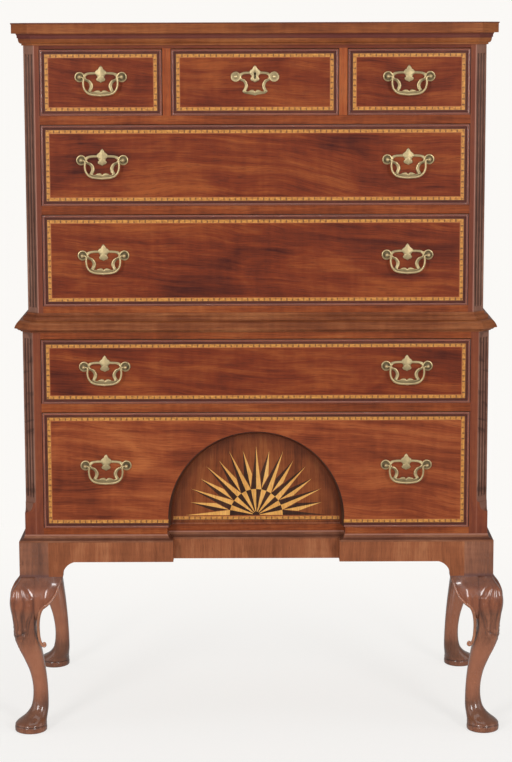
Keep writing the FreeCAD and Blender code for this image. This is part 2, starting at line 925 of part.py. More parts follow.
def dovetailed_side(label, across, near, far, low, high, tails):
    """A drawer side whose front end is a row of tails."""
    tip = near - s.dovetail_length
    pitch = (high - low) / tails
    outline = [(far, high), (far, low), (near, low)]
    for i in range(tails):
        middle = low + (i + 0.5) * pitch
        outline += [
            (near, middle - pitch * 0.26),
            (tip, middle - pitch * 0.38),
            (tip, middle + pitch * 0.38),
            (near, middle + pitch * 0.26),
        ]
    outline.append((near, high))
    return pad(label, "YZ", [outline], across[0], across[1])


def drawer_front(label, across, face, up):
    """A drawer front with a cock bead standing round its edge."""
    body = new_body(label)
    outer = rectangle(across, up)
    board = draw(sketch_on(body, "XZ_Plane", label + "_outline"), outer)
    slab = body.newObject("PartDesign::Pad", label + "_slab")
    slab.Profile = (board, [""])
    bind(slab, "Length", s.front_thickness)
    bead_width = s.bead_width
    bead = sketch_on(body, "XZ_Plane", label + "_bead_outline", lift=s.front_thickness)
    draw(bead, outer)
    draw(bead, rectangle((across[0] + bead_width, across[1] - bead_width), (up[0] + bead_width, up[1] - bead_width)))
    rim = body.newObject("PartDesign::Pad", label + "_bead")
    rim.Profile = (bead, [""])
    bind(rim, "Length", s.bead_reach)
    document.recompute()
    foremost = body.Shape.BoundBox.YMin
    edges = []
    for i, edge in enumerate(body.Shape.Edges, 1):
        if all(abs(vertex.Y - foremost) < 1e-6 for vertex in edge.Vertexes):
            edges.append(f"Edge{i}")
    easing = body.newObject("PartDesign::Chamfer", label + "_eased")
    easing.Base = (rim, edges)
    bind(easing, "Size", s.bead_chamfer)
    place(body, y=face + s.front_thickness)
    return body


def rectangle(across, up):
    return [(across[0], up[0]), (across[1], up[0]), (across[1], up[1]), (across[0], up[1])]


def drawer_box(name, across, face, low, high, tails):
    """Sides, bottom and back of a drawer, behind its front."""
    near = face + s.front_thickness
    far = inside_back - s.drawer_back_gap
    wall = s.lining_thickness
    left, right = across
    lip = high - s.side_drop
    floor = low + s.bottom_rise
    sides = [
        dovetailed_side(name + "_side_left", (left, left + wall), near, far, low, lip, tails),
        dovetailed_side(name + "_side_right", (right - wall, right), near, far, low, lip, tails),
    ]
    between = (left + wall, right - wall)
    bottom = box(name + "_bottom", between, (near, far), (floor, floor + s.bottom_thickness))
    rear = box(name + "_rear", between, (far - wall, far), (floor + s.bottom_thickness, lip))
    return sides, bottom, rear


def ray(label, middle, face, corners):
    """One thin wedge of the sunburst; its corners are (sixteenth of the half turn, radius)."""
    outline = []
    for step, radius in corners:
        angle = math.pi * step / 16
        outline.append((radius * math.cos(angle), middle + radius * math.sin(angle)))
    return pad(label, "XZ", [outline], face, face + s.ray_thickness)


def sunburst(middle, face):
    """Inlaid fan and rays; light and dark change places from wedge to wedge."""
    sun = s.sun_radius
    fan = s.fan_radius
    light = []
    dark = [ray("sun", middle, face, [(step, sun) for step in range(17)])]
    for i in range(16):
        wedge = ray(f"fan_wedge_{i + 1}", middle, face, [(i, sun), (i, fan), (i + 1, fan), (i + 1, sun)])
        (dark if i % 2 else light).append(wedge)
    for step in range(0, 17, 2):
        if step < 16:
            dark.append(ray(f"long_ray_dark_{step}", middle, face,
                            [(step, fan), (step, s.long_ray), (step + 1, fan)]))
        if step > 0:
            light.append(ray(f"long_ray_light_{step}", middle, face,
                             [(step - 1, fan), (step, s.long_ray), (step, fan)]))
    start = fan + s.short_ray_gap
    broad = fan + (s.short_ray - fan) * 0.38
    for step in range(1, 16, 2):
        dark.append(ray(f"short_ray_dark_{step}", middle, face,
                        [(step, start), (step, s.short_ray), (step + 0.5, broad)]))
        light.append(ray(f"short_ray_light_{step}", middle, face,
                         [(step, start), (step - 0.5, broad), (step, s.short_ray)]))
    return light, dark


def niche_space(low, middle):
    """The air of the niche, which cuts the drawer front and its lining: coved, so narrower at the panel."""
    arris = s.niche_radius
    inner = arris - s.niche_cove
    proud = s.bead_reach * 2
    profile = [
        (arris, -proud),
        (arris, 0),
        (arris - s.niche_cove * 0.25, s.recess_depth * 0.5),
        (inner, s.recess_depth),
    ]
    vault = turned("niche_vault", [(0, -proud)] + profile + [(0, s.recess_depth)], 180.0, True)
    place(vault, y=front, z=middle)
    right = [(x, front + y) for x, y in profile]
    shaft = pad("niche_shaft", "XY", [right + [(-x, y) for x, y in reversed(right)]], low, middle)
    return fuse("niche_space", [vault, shaft])


def niche(low):
    """The lining and the inlaid panel of the niche; returns what they cut from the drawer round them."""
    middle = low + s.niche_rise
    half = s.niche_radius + s.niche_wall
    across = (-half, half)
    up = (low, middle + half)
    panel_face = front + s.recess_depth
    panel_back = panel_face + s.niche_panel
    behind = front + s.front_thickness
    space = niche_space(low, middle)
    light, dark = sunburst(middle, panel_face)
    light_node = group("sunburst_light_rays", light)
    dark_node = group("sunburst_dark_rays", dark)
    lining = cut("niche_lining", box("niche_block", across, (behind, panel_face), up), space)
    panel = cut("niche_panel", box("niche_board", across, (panel_face, panel_back), up),
                group("niche_inlay", [light_node, dark_node]))
    inside = s.niche_radius - s.niche_cove
    bead = box("niche_bead", (-inside, inside), (panel_face - s.bead_reach, panel_face), (low, low + s.bead_width))
    node(group("sunburst_niche", [lining, panel, bead]))
    node(light_node)
    node(dark_node)
    return space, box("niche_outside", across, (behind, panel_back), up)


# ---------------------------------------------------------------- brass


def plate_outline(half):
    """Right half of a bat-wing plate, from the top point round to the bottom point."""
    ear = s.ear_radius
    eye = arc_points(half, 0, ear, 145, -133, 6)
    nick = arc_points(half - ear * 0.69, -ear * 1.71, ear * 1.2, 117, 221, 3)
    return [
        (0, ear * 2.14),
        (ear * 0.77, ear * 1.41),
        (ear * 0.95, ear * 1.0),
        (half * 0.62, ear * 0.86),
        *eye,
        *nick,
        (half - ear * 1.27, -ear * 2.64),
        (half - ear * 1.5, -ear * 3.18),
        (ear * 1.09, -ear * 3.41),
        (0, -ear * 3.68),
    ]


def plate_opening(half):
    """Right half of the opening pierced under the pendant of the plate."""
    ear = s.ear_radius
    return [
        (0, -ear * 1.14),
        (ear * 1.05, -ear * 0.55),
        (ear * 0.77, ear * 0.09),
        (ear * 0.91, ear * 0.5),
        (half * 0.6, ear * 0.41),
        (half - ear * 1.14, -ear * 0.09),
        *arc_points(half - ear * 1.26, -ear * 1.72, ear * 1.38, 94, 235, 3),
        (ear * 1.27, -ear * 2.86),
        (ear * 1.0, -ear * 2.55),
        (ear * 0.36, -ear * 2.59),
        (0, -ear * 2.77),
    ]


def whole_outline(right):
    """Close a right half with its mirror image."""
    return right + [(-x, z) for x, z in reversed(right[1:-1])]


def pull_plate(label, spacing, hole_radius):
    """A pierced plate lying on a drawer front at the level of its posts."""
    half = spacing / 2
    outlines = [
        whole_outline(plate_outline(half)),
        whole_outline(plate_opening(half)),
        small_round(-half, 0, hole_radius),
        small_round(half, 0, hole_radius),
    ]
    return pad(label, "XZ", outlines, -s.plate_thickness, Size.of(0))


def rod(label, radius, near, far, turn=0):
    """A many-sided rod along Y, turned about itself by some degrees."""
    feature = document.addObject("Part::Prism", label)
    feature.Label = label
    feature.Polygon = SMALL_SIDES
    bind(feature, "Circumradius", radius)
    bind(feature, "Height", far - near)
    feature.Placement.Rotation = FreeCAD.Rotation(V(1, 0, 0), 90) * FreeCAD.Rotation(V(0, 0, 1), turn)
    place(feature, 0, far, 0)
    return feature


def pull_post(label):
    """A post with a collar and a head that is drilled for the bail; its shank comes out behind the front."""
    plate = -s.plate_thickness
    hinge = plate - s.pivot_reach
    near = hinge - s.knob_radius
    solid = fuse(label + "_undrilled", [
        rod(label + "_head", s.knob_radius, near, hinge + s.knob_radius, turn=180 / SMALL_SIDES),
        rod(label + "_collar", s.collar_radius, plate - s.collar_length, plate),
        rod(label + "_shank", s.shank_radius, near, s.front_thickness + s.shank_end),
    ])
    eye_radius = (s.bail_radius + s.pivot_clearance) / math.cos(math.pi / SMALL_SIDES)
    eye = pad(label + "_eye", "YZ", [small_round(hinge, 0, eye_radius)], -s.knob_radius, s.knob_radius)
    return cut(label, solid, eye)


def bail(label):
    """A drop handle bent from one wire, its ends turned out into the posts."""
    half = s.pull_spacing / 2
    arm = half - s.bail_inset
    bend = s.bail_bend
    curve = s.bail_curve
    drop = s.bail_drop
    body = new_body(label)
    right = [(0, -drop - s.bail_point)]
    right += arc_points(arm - curve, curve - drop, curve, 270, 360, 2)
    right += [(arm, -bend), (arm + bend, 0), (half, 0)]
    left = [(-x, z) for x, z in reversed(right[1:])]
    path = draw(sketch_on(body, "XZ_Plane", label + "_path"), left + right, closed=False)
    wire = draw(sketch_on(body, "YZ_Plane", label + "_wire", lift=-half), small_round(0, 0, s.bail_radius))
    run = body.newObject("PartDesign::AdditivePipe", label + "_run")
    run.Profile = wire
    run.Spine = (path, [])
    run.Transition = "Right corner"
    return body


def keyhole(label, low_y, high_y):
    """A round hole over a narrow slot, for cutting the escutcheon, the drawer front and the lock."""
    hole = document.addObject("Part::Cylinder", label + "_round")
    bind(hole, "Radius", s.keyhole_radius)
    bind(hole, "Height", high_y - low_y)
    hole.Placement.Rotation = FreeCAD.Rotation(V(1, 0, 0), 90)
    place(hole, 0, high_y, keyhole_level)
    half = s.keyhole_width / 2
    slot = box(label + "_slot", (-half, half), (low_y, high_y), (keyhole_level - s.keyhole_drop, keyhole_level))
    return fuse(label, [hole, slot])


def escutcheon(face, level):
    """The plate of the middle drawer: the same outline a little narrower, with a keyhole and no bail."""
    half = s.escutcheon_spacing / 2
    plain = pull_plate("escutcheon_plain", s.escutcheon_spacing, s.escutcheon_pin_radius)
    place(plain, 0, face, level)
    plate = cut("escutcheon_plate", plain, keyhole("escutcheon_keyhole", face - s.plate_thickness, face))
    outside = -s.plate_thickness
    pin = fuse("escutcheon_pin", [
        rod("escutcheon_boss", s.escutcheon_boss_radius, outside - s.escutcheon_boss_reach, outside),
        rod("escutcheon_shank", s.escutcheon_pin_radius, outside, s.front_thickness / 2),
    ])
    pins = [copy(f"escutcheon_pin_{name}", pin, x, face, level) for name, x in (("left", -half), ("right", half))]
    return [plate] + pins


def lock(face, top):
    """A lock let into the back of the middle drawer's front, with a bolt that slides up into the rail."""
    half = s.lock_width / 2
    near = face + s.front_thickness - s.lock_thickness
    envelope = box("lock_seat", (-half, half), (near, face + s.front_thickness), (top - s.lock_height, top))
    play = s.bolt_clearance
    bolt_half = s.bolt_width / 2
    channel = box(
        "bolt_channel",
        (-bolt_half - play, bolt_half + play),
        (bolt_front - play, bolt_front + s.bolt_thickness + play),
        (keyhole_level - s.key_chamber, top),
    )
    hollow = fuse("lock_hollow", [channel, keyhole("lock_keyhole", near, bolt_front)])
    node(cut("lock_case", envelope, hollow))
    node(box("lock_bolt", (-bolt_half, bolt_half), (bolt_front, bolt_front + s.bolt_thickness),
             (top - s.bolt_height, top)))
    return envelope


# ---------------------------------------------------------------- furnished drawers


def drawers():
    """Seven drawers, each with its front, its box and its brass."""
    plate = pull_plate("pull_plate", s.pull_spacing, s.shank_radius)
    post = pull_post("pull_post")
    post_hole = group("post_hole", [rod("post_bit", s.shank_radius, Size.of(0), s.front_thickness)])
    pin_hole = group("pin_hole", [rod("pin_bit", s.escutcheon_pin_radius, Size.of(0), s.front_thickness / 2)])
    handle = bail("bail")
    offset = s.pull_offset
    both = {"left": -offset, "right": offset}
    side_middle = (divider_outer + upper_opening) / 2
    for name, across, face, up, tails, pulls in (
        ("small_left", (-upper_opening, -divider_outer), upper_front, (small_bottom, small_top), 3,
         {"": -side_middle}),
        ("small_centre", (-centre_half, centre_half), upper_front, (small_bottom, small_top), 3, {}),
        ("small_right", (divider_outer, upper_opening), upper_front, (small_bottom, small_top), 3,
         {"": side_middle}),
        ("upper_long", (-upper_opening, upper_opening), upper_front, (upper_long_bottom, upper_long_top), 4, both),
        ("lower_long", (-upper_opening, upper_opening), upper_front, (lower_long_bottom, lower_long_top), 4, both),
        ("shallow", (-lower_opening, lower_opening), front, (shallow_bottom, shallow_top), 3, both),
        ("deep", (-lower_opening, lower_opening), front, (deep_bottom, deep_top), 5, both),
    ):
        low = up[0]
        high = up[1] - s.drawer_gap
        width = (across[0] + s.drawer_gap, across[1] - s.drawer_gap)
        level = (up[0] + up[1]) / 2 + s.pull_rise
        board = drawer_front(name + "_blank", width, face, (low, high))
        sides, bottom, rear = drawer_box(name, width, face, low, high, tails)
        tools = list(sides)
        if pulls:
            half = s.pull_spacing / 2
            places = [middle + side * half for middle in pulls.values() for side in (-1, 1)]
            tools += [copy(f"{name}_hole_{i}", post_hole, x, face, level) for i, x in enumerate(places, 1)]
            brass = [copy(f"{name}_plate_{i}", plate, middle, face, level)
                     for i, middle in enumerate(pulls.values(), 1)]
            brass += [copy(f"{name}_post_{i}", post, x, face, level) for i, x in enumerate(places, 1)]
        else:
            half = s.escutcheon_spacing / 2
            brass = escutcheon(face, level)
            tools += [copy(f"{name}_hole_{i}", pin_hole, x, face, level) for i, x in enumerate((-half, half), 1)]
            tools += [lock(face, high), keyhole("front_keyhole", face, face + s.front_thickness)]
        if name == "deep":
            space, outside = niche(low)
            tools.append(space)
            bottom = cut("deep_bottom_notched", bottom, outside)
        node(cut(name + "_drawer_front", board, group(name + "_sockets", tools)))
        node(group(name + "_drawer_box", sides + [bottom, rear]))
        node(group(name + "_pull_plates", brass))
        hinge = face - s.plate_thickness - s.pivot_reach
        for side, middle in pulls.items():
            label = f"{name}_bail_{side}".rstrip("_")
            node(group(label, [copy(label + "_wire", handle, middle, hinge, level)]))


# ---------------------------------------------------------------- the whole piece

corner_posts()
cases()
mouldings()
aprons()
knee_brackets(legs())
drawers()
document.recompute()


def check(feature):
    """Stop on any feature that failed to rebuild."""
    if {"Invalid", "Error"} & set(feature.State):
        raise RuntimeError(f"{feature.Label}: {feature.State}")


for feature in document.Objects:
    check(feature)
os.makedirs("parts", exist_ok=True)
for piece in nodes:
    shape = piece.Shape
    if shape.isNull() or not shape.isValid() or not shape.Solids:
        raise RuntimeError(f"{piece.Label}: no valid solid")
    shape.exportStep(f"parts/{piece.Label}.step")
print(f"{len(nodes)} nodes, {sum(len(piece.Shape.Solids) for piece in nodes)} solids")
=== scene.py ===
# %% [markdown]
# # A walnut highboy, dressed
# The construction comes from the frame: boards, drawers, joints, in metres, +Z up, drawers towards -Y. This
# lesson adds what a finisher and a carver would: figured veneer, inlaid banding, cock beads, mouldings,
# fluted corners, carved legs and cast brass. Every new piece is a surface worked out on a grid with numpy.

# %% Load the frame
import math

import bpy
import numpy as np
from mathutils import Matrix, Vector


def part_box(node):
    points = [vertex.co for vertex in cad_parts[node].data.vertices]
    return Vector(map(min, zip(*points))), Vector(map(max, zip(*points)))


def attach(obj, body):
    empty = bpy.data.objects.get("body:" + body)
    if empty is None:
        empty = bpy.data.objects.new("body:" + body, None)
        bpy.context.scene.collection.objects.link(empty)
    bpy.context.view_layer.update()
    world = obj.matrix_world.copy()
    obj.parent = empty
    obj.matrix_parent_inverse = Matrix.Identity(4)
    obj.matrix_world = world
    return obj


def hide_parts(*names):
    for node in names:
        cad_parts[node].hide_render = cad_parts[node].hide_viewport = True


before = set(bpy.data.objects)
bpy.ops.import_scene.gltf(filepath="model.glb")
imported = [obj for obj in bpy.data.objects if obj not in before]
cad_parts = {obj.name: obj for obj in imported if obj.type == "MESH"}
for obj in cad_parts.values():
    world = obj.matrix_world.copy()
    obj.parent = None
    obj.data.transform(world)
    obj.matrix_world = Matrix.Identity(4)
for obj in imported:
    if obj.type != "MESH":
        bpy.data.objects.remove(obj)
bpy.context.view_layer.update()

# %% [markdown]
# ## Surfaces on a grid
# A moulding, a leg, a handle and a strip of inlay are all tubes: a closed section that changes along a way.
# So one builder is enough. It takes a grid of points, rows along the way and columns round the section,
# welds the last column to the first, and caps the ends or joins them into a ring. Blender could sweep a
# curve instead, but on a grid the carving is plain arithmetic.

# %% The builder


def corners_of(cells):
    """The four corners of every cell of a grid, in order round the cell."""
    return np.stack([cells[:-1, :-1], cells[1:, :-1], cells[1:, 1:], cells[:-1, 1:]], axis=2)


def placed(name, data):
    """A new object that shows the data, linked into the scene."""
    made = bpy.data.objects.new(name, data)
    bpy.context.scene.collection.objects.link(made)
    return made


class Form:
    """Closed tubes in one piece: points with a tone, faces with a grain position in metres at each corner."""

    def __init__(self):
        self.points = []
        self.faces = []
        self.grain = []
        self.tone = []
        self.count = 0

    def tube(self, points, grain=None, ring=False, tone=None):
        """Add one tube from rows x columns of points whose last column repeats the first.

        The signed volume, a sum of a . (b x c) over its triangles, tells which way the faces must run.
        """
        rows, columns = points.shape[:2]
        number = np.arange(rows * columns).reshape(rows, columns)
        number[:, -1] = number[:, 0]
        if ring:
            number[-1] = number[0]
        used, number = np.unique(number, return_inverse=True)
        number = number.reshape(rows, columns)
        grain = np.zeros((rows, columns, 2)) if grain is None else grain
        tone = np.zeros((rows, columns)) if tone is None else tone
        flat = points.reshape(-1, 3)[used]
        quads = corners_of(number).reshape(-1, 4)
        quad_grain = corners_of(grain).reshape(-1, 4, 2)
        a, b, c, d = (flat[quads[:, k]] - flat.mean(0) for k in range(4))
        inside_out = np.sum(a * np.cross(b, c)) + np.sum(a * np.cross(c, d)) < 0
        step = -1 if inside_out else 1
        faces = (quads[:, ::step] + self.count).tolist()
        texture = [quad_grain[:, ::step].reshape(-1, 2)]
        if not ring:
            for row, turn in ((0, step), (-1, -step)):
                faces.append((number[row, :-1][::turn] + self.count).tolist())
                texture.append(grain[row, :-1][::turn])
        self.points.append(flat)
        self.faces += faces
        self.grain.append(np.concatenate(texture))
        self.tone.append(tone.reshape(-1)[used])
        self.count += len(flat)

    def piece(self, name, material, body, slot, stands_for=(), soft_edge=34):
        """Make the object, let it ride on its body, and shade smooth what turns less than soft_edge."""
        mesh = bpy.data.meshes.new(name)
        mesh.from_pydata(np.concatenate(self.points).tolist(), [], self.faces)
        layer = mesh.uv_layers.new(name="grain")
        layer.data.foreach_set("uv", np.concatenate(self.grain).ravel())
        hollow = mesh.attributes.new("tone", "FLOAT", "POINT")
        hollow.data.foreach_set("value", np.concatenate(self.tone))
        mesh.shade_smooth()
        mesh.set_sharp_from_angle(angle=math.radians(soft_edge))
        mesh.materials.append(material)
        made = placed(name, mesh)
        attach(made, body)
        if stands_for:
            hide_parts(*stands_for)
        print(f"{name}: {len(mesh.polygons)} faces on {body}")
        return made


# %% [markdown]
# Three curves serve the whole piece: a smooth line through chosen points, a smooth value through chosen
# heights, and an arc between two points of a moulding.

# %% Curves


def spline(points, steps):
    """Catmull-Rom curve: cubic spans whose end slopes are half the chord of the points either side."""
    points = np.asarray(points, float)
    padded = np.vstack([2 * points[0] - points[1], points, 2 * points[-1] - points[-2]])
    p0, p1, p2, p3 = (padded[k:len(padded) - 3 + k, None] for k in range(4))
    t = np.linspace(0, 1, steps, endpoint=False)[None, :, None]
    curve = p1 + t * (p2 - p0) / 2 + t**2 * (p0 - 2.5 * p1 + 2 * p2 - p3 / 2)
    curve = curve + t**3 * (1.5 * (p1 - p2) + (p3 - p0) / 2)
    return np.vstack([curve.reshape(-1, points.shape[1]), points[-1:]])


def through(where, knots, values):
    """Smooth value at each place: a cubic between knots, with its slope at a knot from both neighbours."""
    knots, values = np.asarray(knots, float), np.asarray(values, float)
    slope = np.gradient(values, knots)
    k = np.clip(np.searchsorted(knots, where) - 1, 0, len(knots) - 2)
    width = knots[k + 1] - knots[k]
    t = np.clip((where - knots[k]) / width, 0, 1)
    rise = (1 + 2 * t) * (1 - t) ** 2 * values[k] + t**2 * (3 - 2 * t) * values[k + 1]
    return rise + width * (t * (1 - t) ** 2 * slope[k] - t**2 * (1 - t) * slope[k + 1])


def arc(start, end, sag, steps=7):
    """Points of a shallow arc from start to end: the chord plus sag * 4t(1 - t) to its left."""
    start, end = np.asarray(start, float), np.asarray(end, float)
    t = np.linspace(0, 1, steps)[:, None]
    chord = end - start
    left = np.array([-chord[1], chord[0]]) / np.hypot(*chord)
    return start + chord * t + left * sag * 4 * t * (1 - t)


# %% [markdown]
# ## Shader maths as expressions
# A material here is a short calculation. `Value` wraps a socket so that `1 - mask * 0.4` adds the Math
# nodes, and `Paint.node` makes any other node. Colours go through Mix, because a Math node would turn them
# grey.

# %% Paint


class Value:
    """One output of a node; arithmetic on it adds Math nodes."""

    def __init__(self, paint, socket):
        self.paint = paint
        self.socket = socket

    def math(self, operation, *values):
        """A Math node on these values."""
        return self.paint.node("ShaderNodeMath", {"operation": operation}, dict(enumerate(values)))

    def part(self, name):
        """Another output of the same node."""
        return Value(self.paint, self.socket.node.outputs[name])

    def __add__(self, other):
        return self.math("ADD", self, other)

    def __sub__(self, other):
        return self.math("SUBTRACT", self, other)

    def __rsub__(self, other):
        return self.math("SUBTRACT", other, self)

    def __mul__(self, other):
        return self.math("MULTIPLY", self, other)

    __radd__ = __add__
    __rmul__ = __mul__

    def within(self, low, high):
        """0 below low, 1 above high, smooth between; turned round if low is the larger."""
        ease = {"interpolation_type": "SMOOTHSTEP"}
        return self.paint.node("ShaderNodeMapRange", ease, {"Value": self, "From Min": low, "From Max": high})

    def between(self, low, high, soft):
        """1 from low to high, and smoothly down to 0 within soft on either side."""
        return self.within(low - soft, low) * self.within(high + soft, high)


class Paint:
    """A material's node tree while it is being made."""

    def __init__(self, name):
        self.material = bpy.data.materials.new(name)
        self.material.use_nodes = True
        self.tree = self.material.node_tree
        self.tree.nodes.clear()

    def node(self, kind, settings=None, inputs=None, output=0):
        """Add a node: settings first, then values or links of its sockets; returns one of its outputs."""
        made = self.tree.nodes.new(kind)
        for key, value in (settings or {}).items():
            if key == "stops":
                ramp = made.color_ramp
                ramp.elements[1].position = value[-1][0]
                ramp.elements[1].color = value[-1][1]
                ramp.elements[0].position = value[0][0]
                ramp.elements[0].color = value[0][1]
                for position, colour in value[1:-1]:
                    ramp.elements.new(position).color = colour
            else:
                setattr(made, key, value)
        for key, value in (inputs or {}).items():
            if isinstance(key, int):
                socket = made.inputs[key]
            else:
                socket = [one for one in made.inputs if one.name == key and one.enabled][0]
            if isinstance(value, Value):
                self.tree.links.new(value.socket, socket)
            else:
                socket.default_value = value
        outputs = [one for one in made.outputs if one.enabled]
        return Value(self, made.outputs[output] if isinstance(output, str) else outputs[output])

    def noise(self, vector, detail=3.0, roughness=0.55, distortion=0.0):
        """Smooth random value, about 0.5 on average, that changes over one unit of the vector."""
        grain = {"Scale": 1.0, "Detail": detail, "Roughness": roughness, "Distortion": distortion}
        return self.node("ShaderNodeTexNoise", None, {"Vector": vector, **grain})

    def tone(self):
        """A piece's tone at its points: above 0 where hollow or dull; on wood it sets painted shade and
        highlight.
        """
        return self.node("ShaderNodeAttribute", {"attribute_name": "tone"}, output="Fac")

    def vector(self, x, y, z):
        """Three values as one vector."""
        return self.node("ShaderNodeCombineXYZ", None, {0: x, 1: y, 2: z})

    def mix(self, factor, a, b):
        """Colour a where factor is 0, b where it is 1."""
        return self.node("ShaderNodeMix", {"data_type": "RGBA"}, {"Factor": factor, "A": a, "B": b})

    def ramp(self, value, *stops):
        """Colours at places between 0 and 1, joined by straight mixes."""
        return self.node("ShaderNodeValToRGB", {"stops": stops}, {"Fac": value})

    def finish(self, **inputs):
        """The shader itself: inputs are Principled sockets, spaces written as underscores."""
        named = {key.replace("_", " "): value for key, value in inputs.items()}
        shader = self.node("ShaderNodeBsdfPrincipled", None, named)
        self.node_output(shader)
        return self.material

    def node_output(self, shader):
        """Join a shader to the material's surface."""
        made = self.tree.nodes.new("ShaderNodeOutputMaterial")
        self.tree.links.new(shader.socket, made.inputs["Surface"])


def srgb(red, green, blue):
    """A colour written 0 to 255 as the linear numbers that a shader wants."""
    scaled = np.array([red, green, blue]) / 255
    linear = np.where(scaled <= 0.04045, scaled / 12.92, ((scaled + 0.055) / 1.055) ** 2.4)
    return (*linear.tolist(), 1.0)


# %% [markdown]
# ## Wood
# Walnut is told by four things: slow clouds of colour, long streaks that waver along the grain, fine fibres
# with dark pores, and a ripple across the grain where the tree grew under strain. Each is a noise stretched
# along the grain by another amount. An old wax and shellac polish lies over it as a thin coat. One function
# mixes all woods of the piece, so that they stay related.

# %% Wood


def positions(paint, grain):
    """A point's place along the grain, across it and in depth: in the object, or on the piece's own uv."""
    coordinates = paint.node("ShaderNodeTexCoord", output="UV" if grain == "uv" else "Object")
    x = paint.node("ShaderNodeSeparateXYZ", None, {0: coordinates}, "X")
    y, z = x.part("Y"), x.part("Z")
    return {"x": (x, z, y), "y": (y, x, z), "z": (z, x, y), "uv": (x, y, z)}[grain]


def wood_tone(paint, along, across, depth, cloud, streak, fibre, ripple, waver=0.03):
    """How light the wood is, about 0.5 on average, and how deep its pores are.

    The tone is 0.5 plus four noises, each less 0.5 and times its own strength. Another, slow noise shifts the
    place across the grain by up to half of waver, so that streaks and fibres don't run dead straight.
    """
    slow = paint.vector(along * 2.6, across * 4.5, depth * 4.5)
    wander = paint.noise(slow, detail=2.0)
    bent = across + (wander - 0.5) * waver
    clouds = paint.noise(paint.vector(along * 5.5, across * 11, depth * 9), detail=3.0, distortion=0.7)
    streaks = paint.noise(paint.vector(along * 2.2, bent * 62, depth * 62), detail=5.0, roughness=0.62)
    fibres = paint.noise(paint.vector(along * 14, bent * 520, depth * 520), detail=2.0)
    ripples = paint.noise(paint.vector(along * 75, bent * 11, depth * 11), detail=2.0)
    tone = (clouds - 0.5) * cloud + (streaks - 0.5) * streak
    tone = tone + (fibres - 0.5) * fibre + (ripples - 0.5) * ripple + 0.5
    pores = paint.noise(paint.vector(along * 45, bent * 1500, depth * 1500), detail=1.0)
    return tone, pores.within(0.56, 0.7)


def polished(paint, tone, pores, dark, middle, light, coat=0.1, roughness=0.42, sheen=0.16):
    """Colour, sheen and pores of waxed wood."""
    colour = paint.ramp(tone, (0.18, srgb(*dark)), (0.5, srgb(*middle)), (0.82, srgb(*light)))
    colour = paint.mix(pores * 0.45, colour, srgb(*(0.45 * np.array(dark))))
    relief = paint.node("ShaderNodeBump", None, {"Strength": 0.25, "Distance": 0.0004, "Height": 1 - pores})
    return {"Base_Color": colour, "Roughness": tone * -0.12 + (roughness + 0.06), "Normal": relief,
            "Coat_Weight": coat, "Coat_Roughness": 0.16, "Specular_IOR_Level": sheen}


def with_bands(paint, colour, bands):
    """The colour with bands of others: lowest and highest level, softness, strength and colour of each."""
    height = positions(paint, "z")[0]
    for low, high, soft, strength, other in bands:
        colour = paint.mix(height.between(low, high, soft) * strength, colour, srgb(*other))
    return colour


def wood(name, grain, dark, middle, light, cloud=0.9, streak=0.9, ripple=0.3, bands=(), **finish):
    """One wood all over, with bands of painted shade and painted highlight at set heights."""
    paint = Paint(name)
    tone, pores = wood_tone(paint, *positions(paint, grain), cloud, streak, FIBRE, ripple)
    parts = polished(paint, tone, pores, dark, middle, light, **finish)
    if bands:
        parts["Base_Color"] = with_bands(paint, parts["Base_Color"], bands)
    return paint.finish(**parts)


# strength of the fine fibres in most woods, then dark, middle and light colour of each wood
FIBRE = 0.35
RAIL = ((86, 34, 14), (138, 66, 30), (172, 98, 50))
STILE = ((100, 40, 20), (152, 74, 36), (184, 106, 58))
SIDE = ((84, 38, 20), (134, 68, 34), (168, 98, 54))
CORNICE = ((82, 38, 18), (132, 71, 36), (160, 98, 53))
BASE = ((78, 42, 26), (124, 74, 50), (154, 104, 76))
RUN = ((78, 36, 20), (124, 66, 36), (160, 98, 58))
FIELD = ((68, 22, 12), (119, 48, 21), (155, 80, 37))
LOW_FIELD = ((82, 30, 15), (137, 63, 31), (175, 97, 51))
PINE = ((166, 118, 70), (200, 156, 102), (222, 184, 130))
OAK = ((130, 94, 58), (168, 128, 84), (194, 156, 108))

# painted shade: a darker band on the rail just under the cornice
rail_shade_bands = [(1.508, 1.515, 0.0008, 0.6, (88, 38, 34))]
# painted shade under the cornice's fascia, and a painted shadow line along its top edge
cornice_shade_bands = [(1.5285, 1.5375, 0.001, 0.8, (92, 42, 40)), (1.5595, 1.5625, 0.0006, 0.8, (88, 46, 44))]
# a painted highlight line along the base moulding's upper edge, and a painted shadow line lower down
base_highlight_and_shade_bands = [(0.4465, 0.4485, 0.0008, 0.7, (170, 118, 100)), (0.4377, 0.4413, 0.0012, 0.5, (72, 42, 36))]
rail_walnut = wood("rail_walnut", "x", *RAIL, cloud=0.7, ripple=0.25, bands=rail_shade_bands)
cornice_walnut = wood("cornice_walnut", "uv", *CORNICE, cloud=0.7, ripple=0.25, bands=cornice_shade_bands)
base_walnut = wood("base_walnut", "uv", *BASE, cloud=0.7, ripple=0.25, bands=base_highlight_and_shade_bands)
stile_walnut = wood("stile_walnut", "z", *STILE, cloud=0.6, ripple=0.2)
run_walnut = wood("moulding_walnut", "uv", *RUN, cloud=0.7, ripple=0.25)
side_walnut = wood("side_walnut", "z", *SIDE, cloud=0.6, streak=1.1, ripple=0.1)
oak = wood("oak", "y", *OAK, coat=0.0, roughness=0.62)
pine = wood("pine", "x", *PINE, coat=0.0, roughness=0.66, ripple=0.1)
print("woods", [m.name for m in bpy.data.materials])

# %% [markdown]
# ## Places
# The levels come from the boxes of the CAD nodes, so a change of size there moves the dress with it.

# %% Places
DRAWERS = ("small_left", "small_centre", "small_right", "upper_long", "lower_long", "shallow", "deep")
BEAD_REACH = 0.003
DRAWER_GAP = 0.0015
NICHE_DEPTH = 0.034

